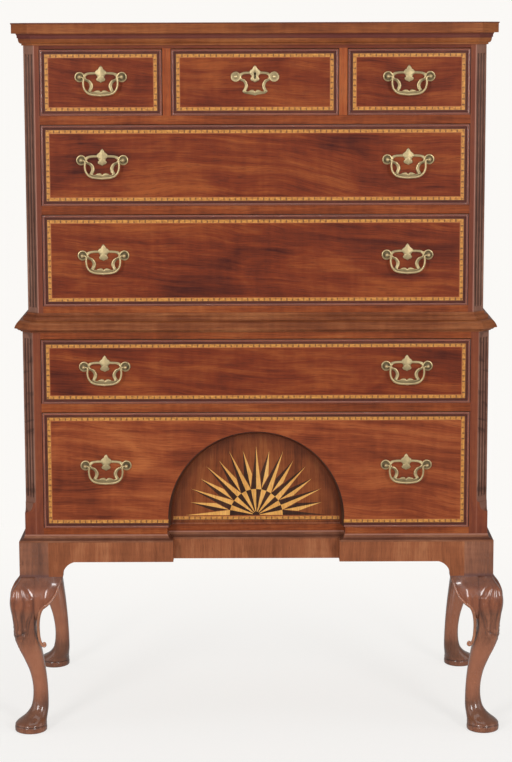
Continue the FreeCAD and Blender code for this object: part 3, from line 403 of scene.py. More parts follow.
fields = {}
for name in DRAWERS:
    low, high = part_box(f"{name}_drawer_front")
    fields[name] = {"left": low[0], "right": high[0], "bottom": low[2], "top": high[2]}
    fields[name]["face"] = low[1] + BEAD_REACH

upper_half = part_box("upper_sides")[1][0]
lower_half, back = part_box("lower_sides")[1][:2]
upper_front = fields["upper_long"]["face"]
lower_front = fields["deep"]["face"]
stand_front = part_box("apron_front")[0][1]
stand_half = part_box("apron_sides_and_back")[1][0]
stand_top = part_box("apron_front")[1][2]
niche_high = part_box("sunburst_niche")[1]
print("fronts", upper_front, lower_front, stand_front, "halves", upper_half, lower_half, stand_half)

# %% [markdown]
# ## Lengths mitred at the corners
# Banding, crossbanding, cock beads and mouldings are all one section carried along straight lengths, as a
# joiner cuts them: each length is a piece by itself and meets the next in a mitre. At a corner between
# lengths whose right-hand normals are n1 and n2, a point that reaches out by one unit goes out by (n1 + n2)
# / (1 + n1 . n2).

# %% Mitred lengths


def mitred_lengths(form, profile, path, to_space, closed=False, across=None):
    """Carry a closed section of (reach, rise) along straight lengths; reach grows to the right of the way.

    across is each section point's place across the grain, or else the distance round the section.
    """
    profile = np.asarray(profile, float)
    path = np.asarray(path, float)
    ends = np.vstack([path, path[:1]]) if closed else path
    way = np.diff(ends, axis=0)
    length = np.hypot(*way.T)
    way = way / length[:, None]
    normal = np.stack([way[:, 1], -way[:, 0]], axis=1)
    before = np.roll(normal, 1, axis=0)
    after = np.roll(normal, -1, axis=0)
    if not closed:
        before[0] = normal[0]
        after[-1] = normal[-1]
    if across is None:
        across = np.r_[0, np.cumsum(np.hypot(*np.diff(profile, axis=0).T))]
    start = 0.0
    for k, run in enumerate(length):
        rows = []
        for point, other in ((ends[k], before[k]), (ends[k + 1], after[k])):
            mitre = (normal[k] + other) / (1 + normal[k] @ other)
            rows.append(point + profile[:, :1] * mitre)
        plan = np.stack(rows)
        along = start + (plan - ends[k]) @ way[k]
        rise = np.broadcast_to(profile[:, 1], plan.shape[:2])
        grain = np.stack([along, np.broadcast_to(across, along.shape)], axis=-1)
        form.tube(to_space(plan, rise), grain)
        start += run


def on_front(face):
    """Plan (x, z) and rise out of a drawer front."""
    return lambda plan, rise: np.stack([plan[..., 0], face - rise, plan[..., 1]], axis=-1)


def above(level):
    """Plan (x, y) and rise above a level."""
    return lambda plan, rise: np.stack([plan[..., 0], plan[..., 1], level + rise], axis=-1)


def strip(inner, outer, sunk, proud):
    """The section of a flat strip, clockwise, its last point repeating the first."""
    return [(inner, -sunk), (inner, proud), (outer, proud), (outer, -sunk), (inner, -sunk)]


# %% [markdown]
# ### Banding, crossband and cock bead
# Each front carries three frames, one inside the other: a bead planted round its edge, a crossband whose
# grain runs outwards, and a band sawn from a made-up stick of light blocks and dark slips. On the deep
# drawer they stop at the niche, and bead and band go on along the foot of the panel.

# %% Banding
BAND_INSET = 0.0138
BAND_HALF = 0.0046
BAND_SUNK = 0.0003
BAND_PROUD = 0.00012
BAND_BLOCK = 0.0122
CROSSBAND = (-0.0092, -0.0047)
NICHE_MARGIN = 0.012


def framed(name, inset, profile, across=None, foot=True):
    """A frame of mitred strips on one drawer front, clockwise as seen from the front: reach grows inwards.

    On the deep front it runs from one side of the niche to the other, and a last length crosses the foot of
    the panel.
    """
    form = Form()
    field = fields[name]
    left, right = field["left"] + inset, field["right"] - inset
    bottom, top = field["bottom"] + inset, field["top"] - inset
    path = [(left, bottom), (left, top), (right, top), (right, bottom)]
    if name != "deep":
        mitred_lengths(form, profile, path, on_front(field["face"]), closed=True, across=across)
        return form
    half = niche_high[0] - NICHE_MARGIN
    path = [(-half, bottom), *path, (half, bottom)]
    mitred_lengths(form, profile, path, on_front(field["face"]), across=across)
    if foot:
        path = [(half, bottom), (-half, bottom)]
        mitred_lengths(form, profile, path, on_front(field["face"] + NICHE_DEPTH), across=across)
    return form


def band_material():
    """Light blocks parted by dark slips, between an outer dark line and an inner orange one."""
    paint = Paint("banding")
    along, across, depth = positions(paint, "uv")
    turn = along.math("PINGPONG", along, BAND_BLOCK / 2)
    wear_and_painted_light = paint.noise(paint.vector(along * 70, across * 90, depth), detail=1.0)
    slip = turn.within(0.0022, 0.0008) * wear_and_painted_light.within(0.3, 0.55)
    slip = slip * across.math("ABSOLUTE", across).within(0.0036, 0.0024)
    cloud = paint.noise(paint.vector(along * 130, across * 300, depth))
    light = ((0.25, srgb(150, 88, 28)), (0.5, srgb(194, 128, 48)), (0.75, srgb(222, 158, 74)))
    block = paint.ramp(cloud, *light)
    colour = paint.mix(slip * 0.85, block, srgb(92, 50, 16))
    colour = paint.mix(across.within(0.0031, 0.0036), colour, srgb(160, 84, 36))
    colour = paint.mix(across.within(-0.0032, -0.0038), colour, srgb(84, 44, 22))
    return paint.finish(Base_Color=colour, Roughness=0.42, Coat_Weight=0.4, Coat_Roughness=0.16)


banding = band_material()
crossband = wood("crossband", "uv", (54, 24, 20), (88, 42, 32), (124, 66, 46), cloud=0.5, streak=0.6)
band_profile = np.array(strip(-BAND_HALF, BAND_HALF, BAND_SUNK, BAND_PROUD))
for name in DRAWERS:
    form = framed(name, BAND_INSET, band_profile, across=band_profile[:, 0])
    form.piece(f"{name}_banding", banding, f"{name}_drawer", "boxwood")
for name in DRAWERS:
    form = framed(name, BAND_INSET, strip(*CROSSBAND, BAND_SUNK, BAND_PROUD / 2), foot=False)
    form.piece(f"{name}_crossband", crossband, f"{name}_drawer", "walnut_veneer")

# %% Cock beads
BEAD_CENTRE = 0.00225
BEAD_HALF = 0.00245
BEAD_BASE = 0.0006
BEAD_RISE = 0.00255
BEAD_POWER = 2.4
BEAD = ((66, 34, 32), (104, 60, 52), (138, 88, 76))
# a height between the drawers of the two cases
CASES_MEET = 0.93


def bead_profile():
    """Half of a superellipse, |x|^p + |y|^p = 1, on a short straight base."""
    turn = np.linspace(0, math.pi, 13)
    reach = -BEAD_HALF * np.sign(np.cos(turn)) * np.abs(np.cos(turn)) ** (2 / BEAD_POWER)
    rise = BEAD_BASE + (BEAD_RISE - BAND_PROUD) * np.sin(turn) ** (2 / BEAD_POWER)
    points = np.stack([reach, rise], axis=1)
    return np.vstack([[-BEAD_HALF, -0.0005], points, [BEAD_HALF, -0.0005], [-BEAD_HALF, -0.0005]])


def bead_material():
    """Dark polished walnut, with a painted highlight in a lighter colour along the crest of the bead.

    The crest is told by how far a point stands in front of its drawer's face or of the niche's panel.
    """
    paint = Paint("bead_walnut")
    tone, pores = wood_tone(paint, *positions(paint, "uv"), 0.4, 0.5, FIBRE, 0.3)
    parts = polished(paint, tone, pores, *BEAD, coat=0.9, roughness=0.2, sheen=0.5)
    depth, height = positions(paint, "y")[0], positions(paint, "z")[0]
    painted_bead_highlight = 0.0
    for face, low, high in ((upper_front, CASES_MEET, 2.0), (lower_front, 0.0, CASES_MEET)):
        for sunk in (0.0, NICHE_DEPTH):
            crown = face + sunk - BEAD_RISE
            ridge = depth.within(crown + 0.3 * BEAD_RISE, crown + 0.1 * BEAD_RISE)
            ridge = ridge * depth.within(crown - 0.004, crown - 0.002)
            painted_bead_highlight = ridge * height.between(low, high, 0.002) + painted_bead_highlight
    # painted highlight: the crest of the bead is lightened in colour
    parts["Base_Color"] = paint.mix(painted_bead_highlight * 0.42, parts["Base_Color"], srgb(176, 122, 104))
    return paint.finish(**parts)


bead_wood = bead_material()
for name in DRAWERS:
    form = framed(name, BEAD_CENTRE, bead_profile())
    form.piece(f"{name}_cock_bead", bead_wood, f"{name}_drawer", "walnut")

# %% [markdown]
# ### Mouldings
# The CAD mouldings are right in size but plain at their curves. These follow the same corners with smooth
# hollows and rounds, and their grain runs along each length. The cornice and the base have bands of another
# colour at set heights: painted shade under the cornice's fascia and a painted shadow line along its top
# edge, and on the base a painted highlight line along its upper edge and a painted shadow line lower down.

# %% Mouldings


CANT = 0.024


def canted_path(half, front):
    """The plan of a case from the back of its left side round the canted front to the right."""
    return [(-half, back), (-half, front + CANT), (-half + CANT, front), (half - CANT, front),
            (half, front + CANT), (half, back)]


def section(reach, rise, *parts):
    """A section from shares of its reach and rise; a part is a corner, or an arc (start, end, sag)."""
    points = []
    for part in parts:
        points.append(np.array([part]) if len(part) == 2 else arc(part[0], part[1], part[2]))
    outline = np.vstack(points) * (reach, rise)
    return np.vstack([outline, outline[:1]])


def moulding(name, profile, path, node, material=run_walnut):
    """A moulding from its section and the corners it runs round, at the foot of the node that it replaces."""
    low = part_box(node)[0][2]
    form = Form()
    mitred_lengths(form, profile, path, above(low))
    form.piece(name, material, "case", "walnut", [node])


cornice = section(0.026, 0.0475, (0, 0), (0.14, 0), (0.14, 0.08), ((0.14, 0.08), (0.42, 0.33), -0.09),
                  (0.5, 0.33), (0.5, 0.42), ((0.5, 0.42), (0.85, 0.53), 0.08), (0.94, 0.53), (0.94, 0.93),
                  (1, 0.95), (1, 1), (0, 1))
moulding("cornice_run", cornice, canted_path(upper_half, upper_front), "cornice", cornice_walnut)
upper_base = section(0.011, 0.016, (0, 0), (1, 0), ((1, 0.2), (0.72, 0.5), -0.14), (0.72, 0.58),
                     ((0.72, 0.58), (0.2, 0.94), 0.12), (0.2, 1), (0, 1))
moulding("upper_base_run", upper_base, canted_path(upper_half, upper_front), "upper_base_moulding")
WAIST_REACH = 0.017
LIP_PLAY = 0.001
lip = (lower_half - upper_half - LIP_PLAY) / WAIST_REACH
waist = section(WAIST_REACH, 0.025, (-lip, 0), (0.24, 0), (0.24, 0.12), ((0.24, 0.12), (0.7, 0.28), -0.09),
                (1, 0.28), (1, 0.36), ((1, 0.36), (0, 1), -0.17), (-lip, 1))
moulding("waist_run", waist, canted_path(lower_half, lower_front), "waist_moulding")
BASE_LAP = 0.02
NICHE_WALL = 0.009
base_reach = stand_half - lower_half
lap = BASE_LAP / base_reach
base = section(base_reach, 0.0155, (-lap, 0), (1, 0), (1, 0.12), ((1, 0.12), (0.7, 0.25), -0.08),
               (0.7, 0.3), ((0.7, 0.3), (0.1, 0.88), 0.14), (0.1, 1), (-lap, 1))
notch = niche_high[0] - NICHE_WALL
recess = lower_front + NICHE_DEPTH
base_path = [(-lower_half, back), (-lower_half, lower_front), (-notch, lower_front), (-notch, recess),
             (notch, recess), (notch, lower_front), (lower_half, lower_front), (lower_half, back)]
moulding("base_run", base, base_path, "base_moulding", base_walnut)

# %% [markdown]
# ### Fluted corners
# Each front corner is a post with its arris cut off at 45 degrees and three round-bottomed flutes ploughed
# down the flat. Beside the deep drawer the flat ends in two small hollow steps and the corner is square
# again. One grid does both: rows are heights, columns go round the plan, and a flute's depth at a point
# that lies a across from its middle and e past its end is sqrt(r^2 - a^2 - e^2).

# %% Corner posts
POST_DEPTH = 0.045
EDGE = 0.0006
FLUTE_RADIUS = 0.0032
FLUTE_PITCH = 0.0093
FLUTE_MIDDLES = FLUTE_PITCH * np.array([-1, 0, 1])
ROUND = np.sin(np.radians(np.arange(-90, 91, 15)))


def fluted_post(form, side, half, field, levels, flute_ends, cant_at):
    """One post: side is -1 left or 1 right, cant_at(z) is the size of the cut-off corner at a height."""
    front = field["face"]
    inner = field["left"] - DRAWER_GAP
    low, high = flute_ends
    middle, reach = (low + high) / 2, (high - low) / 2
    ends = np.concatenate([low + FLUTE_RADIUS * ROUND, high + FLUTE_RADIUS * ROUND])
    heights = np.unique(np.concatenate([levels, ends]))
    fluted = (FLUTE_MIDDLES[:, None] + FLUTE_RADIUS * ROUND).ravel()
    cant = cant_at(heights)[:, None]
    share = np.concatenate([[-1], fluted / (CANT * math.sqrt(0.5)), [1]])
    a = share * cant * math.sqrt(0.5)
    nearest = np.min(np.abs(a[:, :, None] - FLUTE_MIDDLES), axis=2)
    past = np.maximum(np.abs(heights - middle) - reach, 0)[:, None]
    depth = np.sqrt(np.maximum(FLUTE_RADIUS**2 - nearest**2 - past**2, 0))
    x = -half + cant / 2 + (a + depth) * math.sqrt(0.5)
    y = front + cant / 2 + (depth - a) * math.sqrt(0.5)
    outside, inside, near = (np.full_like(cant, level) for level in (-half, inner, front))
    far = near + POST_DEPTH
    # the plan: rear outside corner, the flat from outside to front, then the inner side, front to rear
    x = np.concatenate([outside, outside, x, cant - half + EDGE, inside, inside, outside], axis=1)
    y = np.concatenate([far, cant + front + EDGE, y, near, near, far, far], axis=1)
    points = np.stack([-side * x, y, np.broadcast_to(heights[:, None], x.shape)], axis=-1)
    round_plan = np.r_[0, np.cumsum(np.hypot(*np.diff(points[0, :, :2], axis=0).T))]
    grain = np.stack(np.broadcast_arrays(heights[:, None], round_plan[None, :]), axis=-1)
    # tone: painted dark reflection over the flat, and painted shade that deepens down in the flutes
    tone = np.pad((0.4 + 0.6 * depth / FLUTE_RADIUS) * np.minimum(cant / CANT * 1.3, 1), ((0, 0), (2, 4)))
    form.tube(points, grain, tone=tone)


def full_cant(z):
    """The same cant at every height."""
    return np.full_like(z, CANT)


# height and cant where the flat ends
STOP = np.array([(0.4985, 0.0006), (0.4995, 0.0085), (0.5022, 0.0125), (0.507, 0.0155), (0.513, 0.0172),
                 (0.5190, 0.0176), (0.5198, 0.0215), (0.5225, 0.0232), (0.5265, 0.024)])


def stopped_cant(z):
    """The cant ends downwards in two small hollow steps, one over the other, and leaves a square corner."""
    return np.interp(z, STOP[:, 0], STOP[:, 1])


def corner_material():
    """Darkened rail colour on square faces; a greyer painted reflection on the flat and painted shade in the
    flutes.
    """
    paint = Paint("corner_walnut")
    tone, pores = wood_tone(paint, *positions(paint, "uv"), 0.7, 0.9, FIBRE, 0.2)
    face = polished(paint, tone, pores, *RAIL)
    # a greyer copy of the wood: painted dark reflection on the flat
    cant_reflection = polished(paint, tone, pores, (88, 56, 46), (126, 86, 70), (152, 112, 94))
    place = paint.tone()
    across, upper = positions(paint, "x")[0], positions(paint, "z")[0].within(0.91, 0.93)
    aged = paint.mix(upper * 0.15 + 0.5, face["Base_Color"], srgb(104, 56, 46))
    colour = paint.mix(place.within(0.1, 0.35), aged, cant_reflection["Base_Color"])
    for half, share in ((upper_half, upper), (lower_half, 0.25 - upper * 0.25)):
        # a lighter line along each arris: a painted highlight
        arris = across.math("ABSOLUTE", across) - (half - CANT)
        wear_and_painted_light = arris.within(-0.0022, -0.0008) * arris.within(0.0012, 0.0002) * share
        colour = paint.mix(wear_and_painted_light * 0.55, colour, srgb(190, 138, 120))
    # painted shade down in the flutes
    face["Base_Color"] = paint.mix(place.within(0.45, 1.0) * 0.8, colour, srgb(52, 28, 22))
    return paint.finish(**face)


corner_walnut = corner_material()
upper_low, upper_high = (corner[2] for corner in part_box("upper_corner_posts"))
lower_low, lower_high = (corner[2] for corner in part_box("lower_corner_posts"))
# middles of the flutes' round ends, and the rows of each post
upper_flutes = (upper_low + 0.037, fields["small_left"]["top"] - 0.0125)
lower_flutes = (0.534, lower_high - 0.017)
upper_rows = [upper_low, upper_high]
lower_rows = np.concatenate([[lower_low], np.linspace(0.498, 0.527, 30), STOP[:, 0], [lower_high]])
posts = {"upper": Form(), "lower": Form()}
for side in (-1, 1):
    fluted_post(posts["upper"], side, upper_half, fields["upper_long"], upper_rows, upper_flutes, full_cant)
    fluted_post(posts["lower"], side, lower_half, fields["deep"], lower_rows, lower_flutes, stopped_cant)
for name, form in posts.items():
    node = f"{name}_corner_posts"
    form.piece(f"{name}_fluted_corners", corner_walnut, "case", "walnut", [node], soft_edge=28)

# %% [markdown]
# ### Cabriole legs
# A cabriole leg is sawn from a square block and rounded with a spokeshave: square at the top, round at the
# ankle. Its section is a superellipse |x|^n + |y|^n = 1, whose power n falls from near-square to 2, a
# circle. The middle of the section bows out and back along the corner's diagonal. The knee of the front
# legs carries a carved acanthus leaf: relief is a height over a flat leaf whose coordinates are the
# distance s round from the arris and the height z.

# %% Legs
# height, outward shift of the middle along X and Y, and breadth, in millimetres; then roundness, from
# square (0) to circle (1)
LEG_STATIONS = np.array([
    (356, 0, 64, 0.10), (345, 3.6, 70.5, 0.16), (334, 8.5, 78, 0.25), (318, 13.2, 83.4, 0.33),
    (300, 16, 84, 0.42), (284, 18.8, 75.5, 0.50), (270, 21, 66, 0.56), (254, 22.2, 59.6, 0.60),
    (238, 22, 55, 0.64), (204, 16, 51, 0.70), (168, 7, 44, 0.78), (128, -2, 35.5, 0.88),
    (82, -6, 33.5, 0.95), (62, -5.2, 36, 0.97), (48, -3, 40, 0.98), (32, 5, 52, 1), (22, 13, 66, 1),
    (17, 14.8, 70.3, 1), (13, 15, 71, 1), (5, 15, 71, 1), (1.5, 15, 68.5, 1), (0, 15, 62, 1)])[::-1]
POST = 64
INSET = (6, 11)
LEG_REACH = 57.8
SOLE = 14.5
KNEE_LINE = 356
KNEE_ROOM = 4.4
# middle of the groove beside the scroll: height and distance inward of the case's corner
GROOVE = np.array([(204, 41.5), (217, 37), (232, 35), (250, 35.2), (268, 37.5), (283, 41.5), (294, 49)])
COLUMNS = 208
GATHER = 0.15
LEAF = np.array([(148, 2), (165, 3.5), (185, 6), (205, 10), (214, 15), (225, 23), (240, 29), (260, 36),
                 (280, 44), (300, 48), (318, 41), (330, 29), (340, 14), (346, 4)])


def ease(low, high, value):
    """0 below low, 1 above high, smooth between."""
    t = np.clip((value - low) / (high - low), 0, 1)
    return t * t * (3 - 2 * t)


# curls of the leaf: distance from the arris, height, radius and rise, in millimetres
CURLS = np.array([(47, 310, 6.0, 2.0), (43, 294, 5.0, 1.6), (30, 346, 7.0, 1.4), (26, 238, 5.0, 2.0),
                  (20, 222, 6.0, 2.2), (8, 232, 5.0, 1.6), (9, 212, 4.0, 1.2)])


def acanthus(s, z):
    """Height of the carving in millimetres, s round from the arris and z up, and how hollow it is.

    The leaf's ribs run down from the knee and draw together with its width: they are cosines of 5 pi times
    the share q = s / half width, and q sways with the height like a flame, by 0.07 sin(z / 11 + 4 q). A rim
    stands at 0.9 of the half width and a ditch lies at 1.13 of it. A cut parts the leaf from its stem, and
    each curl is a bell, rise * exp(-(distance / radius)^2).
    """
    width = through(z, LEAF[:, 0], LEAF[:, 1])
    q = np.abs(s) / np.maximum(width, 1.5)
    inside = 1 - ease(0.92, 1.06, q)
    tall = ease(150, 190, z) * (1 - ease(322, 342, z))
    leafy = ease(208, 235, z)
    flame = q + 0.07 * np.sin(z / 11 + 4 * q) * leafy
    ribs = np.cos(5 * math.pi * flame)
    rim = np.exp(-(((flame - 0.9) / 0.09) ** 2))
    rib = np.exp(-((s / 3.0) ** 2))
    ditch = np.exp(-(((q - 1.13) / 0.07) ** 2)) * leafy
    distance = np.hypot(np.abs(s)[..., None] - CURLS[:, 0], z[..., None] - CURLS[:, 1])
    curls = np.sum(CURLS[:, 3] * np.exp(-((distance / CURLS[:, 2]) ** 2)), axis=-1)
    split = np.exp(-(((z - 0.5 * np.abs(s) - 222) / 2.2) ** 2)) * inside
    leaf = inside * (0.8 + 0.7 * ribs * leafy * (1 - rim) + rim + 0.8 * rib * (1 - leafy))
    relief = tall * (leaf - 0.8 * ditch - split) + curls
    valleys = 0.5 * inside * leafy * ease(0.0, -1.0, ribs)
    hollow = tall * (0.55 * ditch + 0.6 * split + valleys) * (1 - curls / 3)
    return relief, np.clip(hollow, 0, 1)


def leg_section(z, inset=0):
    """Outward shift of the middle, half breadth and power of the section at a height."""
    shift, breadth, roundness = (through(z, LEG_STATIONS[:, 0], LEG_STATIONS[:, k]) for k in (1, 2, 3))
    power = -math.log(2) / np.log(1 - 0.2929 * np.clip(roundness, 0.05, 1))
    return shift - inset * ease(KNEE_LINE, 330, z), breadth / 2, power


def leg_grid(middle, outward, inset, carved):
    """Rows up a leg from the sole, columns round it from the outward arris; returns points and tone.

    outward is the way of the arris, -1 or 1 along X and Y, and inset is how far the leg is drawn in below the
    knee, sideways and in depth. The columns gather at the four arrises, by GATHER * sin(4t).
    """
    fine = np.arange(146, 355, 1.3 if carved else 6)
    heights = np.concatenate([[0, 0.6, 1.5, 3, 5, 7, 9, 11], np.arange(12, 19, 0.7), np.arange(20, 50, 2),
                              np.arange(52, 146, 5), fine, [KNEE_LINE]])
    heights = np.unique(heights)
    shift, half, power = leg_section(heights)
    half = (half - 1.4 * np.exp(-(((heights - SOLE) / 1.1) ** 2)))[:, None]
    power = power[:, None]
    t = np.linspace(0, 2 * math.pi, COLUMNS + 1)
    turn = (t - GATHER * np.sin(4 * t) + math.pi / 4)[None, :]
    radius = half / (np.abs(np.cos(turn)) ** power + np.abs(np.sin(turn)) ** power) ** (1 / power)
    x, y = radius * np.cos(turn), radius * np.sin(turn)
    z = np.broadcast_to(heights[:, None], x.shape)
    tone = np.zeros_like(x)
    if carved:
        step = np.hypot(np.diff(x, axis=1), np.diff(y, axis=1))
        s = np.concatenate([np.zeros((len(heights), 1)), np.cumsum(step, axis=1)], axis=1)
        girth = s[:, -1:]
        s = np.where(s > girth / 2, s - girth, s)
        # tone marks the carving's hollows, which the leg's walnut darkens as painted shade
        relief, tone = acanthus(s, z)
        relief = relief - KNEE_ROOM * ease(205, 255, z)
        line = POST / 2 - shift[:, None] - np.interp(z, GROOVE[:, 0], GROOVE[:, 1])
        beside = np.exp(-(((np.minimum(x, y) - line) / 1.6) ** 2)) * (np.maximum(x, y) > 0)
        beside = beside * ease(200, 214, z) * (1 - ease(288, 298, z))
        # painted shade in the groove beside the scroll
        relief, tone = relief - 1.1 * beside, np.maximum(tone, 0.9 * beside)
        x, y = x + relief * np.cos(turn), y + relief * np.sin(turn)
    # painted shade in the groove above the sole, carried in the tone
    tone = np.maximum(tone, 0.8 * np.exp(-(((z - SOLE) / 1.6) ** 2)))
    drawn = ease(KNEE_LINE, 330, heights)
    x = np.minimum(x + (shift - inset[0] * drawn)[:, None], LEG_REACH)
    y = np.minimum(y + (shift - inset[1] * drawn)[:, None], LEG_REACH)
    side = POST / 2
    square = np.stack([np.cos(turn[0]), np.sin(turn[0])])
    square = side * square / np.abs(square).max(0)
    levels = (KNEE_LINE + 0.02, 1000 * stand_top)
    top = np.stack([np.stack([*square, np.full(COLUMNS + 1, level)], axis=-1) for level in levels])
    points = np.concatenate([np.stack([x, y, z], axis=-1), top]) * (outward[0], outward[1], 1)
    points = points + (middle[0], middle[1], 0)
    tone = np.vstack([tone, np.zeros((2, COLUMNS + 1))])
    return points / 1000, tone


LEG = ((76, 42, 28), (138, 84, 58), (174, 118, 86))
# heights of a leg with another colour: a painted highlight on the shin, a redder knee, a darker ankle,
# painted shade at the top of the knee and a dark joint at the knee line; lowest and highest level, softness,
# strength and colour
LEG_BANDS = ((0.105, 0.175, 0.05, 0.6, (180, 112, 80)), (0.292, 0.325, 0.02, 0.3, (158, 78, 40)),
             (0.026, 0.055, 0.02, 0.6, (102, 64, 44)), (0.337, 0.356, 0.012, 0.4, (102, 62, 50)),
             (0.3555, 0.3595, 0.003, 0.5, (92, 60, 60)))


def leg_walnut():
    """Walnut with painted shade in carved hollows and at the knee, painted highlights on shin and scroll,
    dark at the ankle.
    """
    paint = Paint("leg_walnut")
    tone, pores = wood_tone(paint, *positions(paint, "z"), 0.6, 0.7, 0.3, 0.2)
    hollow = paint.tone()
    # painted shade where the tone is hollow; a tone below 0, on the scroll, paints a highlight
    wear_and_painted_light = tone - hollow * 0.34
    wear_and_painted_light = wear_and_painted_light.math("MAXIMUM", wear_and_painted_light, 0.0)
    finish = polished(paint, wear_and_painted_light, pores, *LEG, coat=0.9, roughness=0.26, sheen=0.5)
    finish["Coat_Roughness"] = 0.08
    finish["Base_Color"] = with_bands(paint, finish["Base_Color"], LEG_BANDS)
    return paint.finish(**finish)


carved_walnut = leg_walnut()
front_leg_y = stand_front * 1000 + POST / 2
rear_leg_y = back * 1000 - POST / 2
ends = (("front", -1, front_leg_y, (0, 0)), ("rear", 1, rear_leg_y, INSET))
for end, outward_y, middle_y, inset in ends:
    for name, side in (("left", -1), ("right", 1)):
        middle = (side * (stand_half * 1000 - POST / 2), middle_y)
        points, tone = leg_grid(middle, (side, outward_y), inset, carved=end == "front")
        form = Form()
        form.tube(points, tone=tone)
        node = f"leg_{end}_{name}"
        form.piece(f"{node}_shaped", carved_walnut, "case", "walnut", [node], soft_edge=40)

# %% [markdown]
# ### Knee brackets
# The ears beside a knee are glued blocks whose face goes on from the knee and dies into the apron. Rows run
# from inside the leg to the inner end; each section is a strip of that face, closed by the back. Along the
# lower edge lies a raised scroll, a round bead that runs down the inner edge of the leg and ends in a small
# volute.

# %% Knee brackets
# furthest that a face stands out of the apron's plane, and how far a bracket still does where it dies away
FACE_REACH = 25.6
EAR_LIFT = 0.4
ROPE_SIDES = 12
# below 0, so that the scroll is lighter than the leg: a painted highlight along the bead
SCROLL_HIGHLIGHT_TONE = -0.7
# lower edge of a bracket: inward from the case's corner, and up
EAR_EDGE = np.array([(44, 266), (47, 281), (56, 290), (67, 299), (74, 310), (81, 324), (92, 344),
                     (95, 356)])
# middle line of the scroll, inward from the case's corner and up, and its radius
SCROLL = np.array([(91, 350, 2.4), (84.5, 331, 2.7), (77, 316, 3.0), (67, 303, 3.1), (54, 294, 3.3),
                   (46, 283, 3.5), (42, 268, 3.6), (39.8, 250, 3.6), (39.6, 232, 3.5), (41.5, 217, 3.3),
                   (45.5, 205, 3.1), (50.5, 199.5, 3.1), (54, 202, 2.9), (52.5, 207, 2.6), (49, 206, 2.2)])


def face_out(u, z, inset=0):
    """How far a leg's face stands out of the apron's plane at u inward from the case's corner and z up.

    Below the ear it is the leg's own round section; beside the ear it keeps the depth that it has at 0.62 of
    the half breadth, and from there it fades into the plane of the apron.
    """
    shift, half, power = leg_section(z, inset)
    across = np.abs(u - POST / 2 + shift) / half
    across = np.minimum(across, 1 - 0.38 * ease(256, 285, z))
    return (shift - POST / 2 + half * (1 - across**power) ** (1 / power)) * (1 - ease(52, 96, u))


def ear_space(u, out, z, mode, side):
    """From distance u inward of the case's corner, out of its face, and height, to the frame.

    mode names the face: front, side, or rear for the side's rear end.
    """
    near = 1000 * stand_front
    if mode == "front":
        x, y = 1000 * stand_half - u, near - out
    elif mode == "side":
        x, y = 1000 * stand_half + out, near + u
    else:
        x, y = 1000 * stand_half + out, 1000 * back - u
    return np.stack([side * x, y, z], axis=-1) / 1000


def ear(form, mode, side, inset):
    """One bracket: rows along the face, columns round a section from its lower edge up and down the back."""
    u = np.linspace(34, 95, 30)[:, None]
    low = np.where(u < 44, 262, through(u, EAR_EDGE[:, 0], EAR_EDGE[:, 1]))
    z = low + (KNEE_LINE - low) * np.linspace(0, 1, 16)
    u = np.broadcast_to(u, z.shape)
    out = np.clip(face_out(u, z, inset), 0, FACE_REACH - EAR_LIFT) + EAR_LIFT - 3 * np.exp((low - z) / 2.5)
    front = np.stack([u, out, z], axis=-1)
    rear = front[:, ::-1] * (1, 0, 1) - (0, 22, 0)
    points = np.concatenate([front, rear, front[:, :1]], axis=1)
    form.tube(ear_space(points[..., 0], points[..., 1], points[..., 2], mode, side))


def rope(form, path, radius, tone=0.0):
    """A round bar along a smooth path: each section is a circle square to the way."""
    way = np.gradient(path, axis=0)
    helper = np.eye(3)[np.argmin(np.abs(way).max(0))]
    first = np.cross(way, helper)
    first = first / np.linalg.norm(first, axis=1, keepdims=True)
    second = np.cross(way, first)
    second = second / np.linalg.norm(second, axis=1, keepdims=True)
    turn = np.linspace(0, 2 * math.pi, ROPE_SIDES + 1)[None, :, None]
    section = np.cos(turn) * first[:, None] + np.sin(turn) * second[:, None]
    tone = np.full((len(path), ROPE_SIDES + 1), tone)
    form.tube(path[:, None] + radius[:, None, None] * section, tone=tone)


ears = Form()
scroll = spline(SCROLL, 8)
for side in (-1, 1):
    for mode, inset in (("front", 0), ("side", 0), ("rear", INSET[0])):
        ear(ears, mode, side, inset)
        if mode != "rear":
            beside = np.where(scroll[:, 1] < 290, np.minimum(scroll[:, 0], 36), scroll[:, 0])
            out = np.clip(face_out(beside, scroll[:, 1]), 0, FACE_REACH - scroll[:, 2])
            path = ear_space(scroll[:, 0], out, scroll[:, 1], mode, side)
            rope(ears, path, scroll[:, 2] / 1000, SCROLL_HIGHLIGHT_TONE)
ears.piece("shaped_knee_brackets", carved_walnut, "case", "walnut", ["knee_brackets"], soft_edge=50)

# %% [markdown]
# ### Brass
# A pull is three castings: a pierced plate like a bat's wings, two turned posts that hold it through the
# front, and a bail sprung between the posts. The file leaves the ridges of a plate bright and the hollows
# dull, so every ring of points carries its own tone. All lengths are millimetres from the middle between
# the posts, with the rise out of the drawer's front.

# %% Brass
PULL_RISE = 0.011
PULL_HALF = 45
ESCUTCHEON_HALF = 41
HINGE_RISE = 13.6
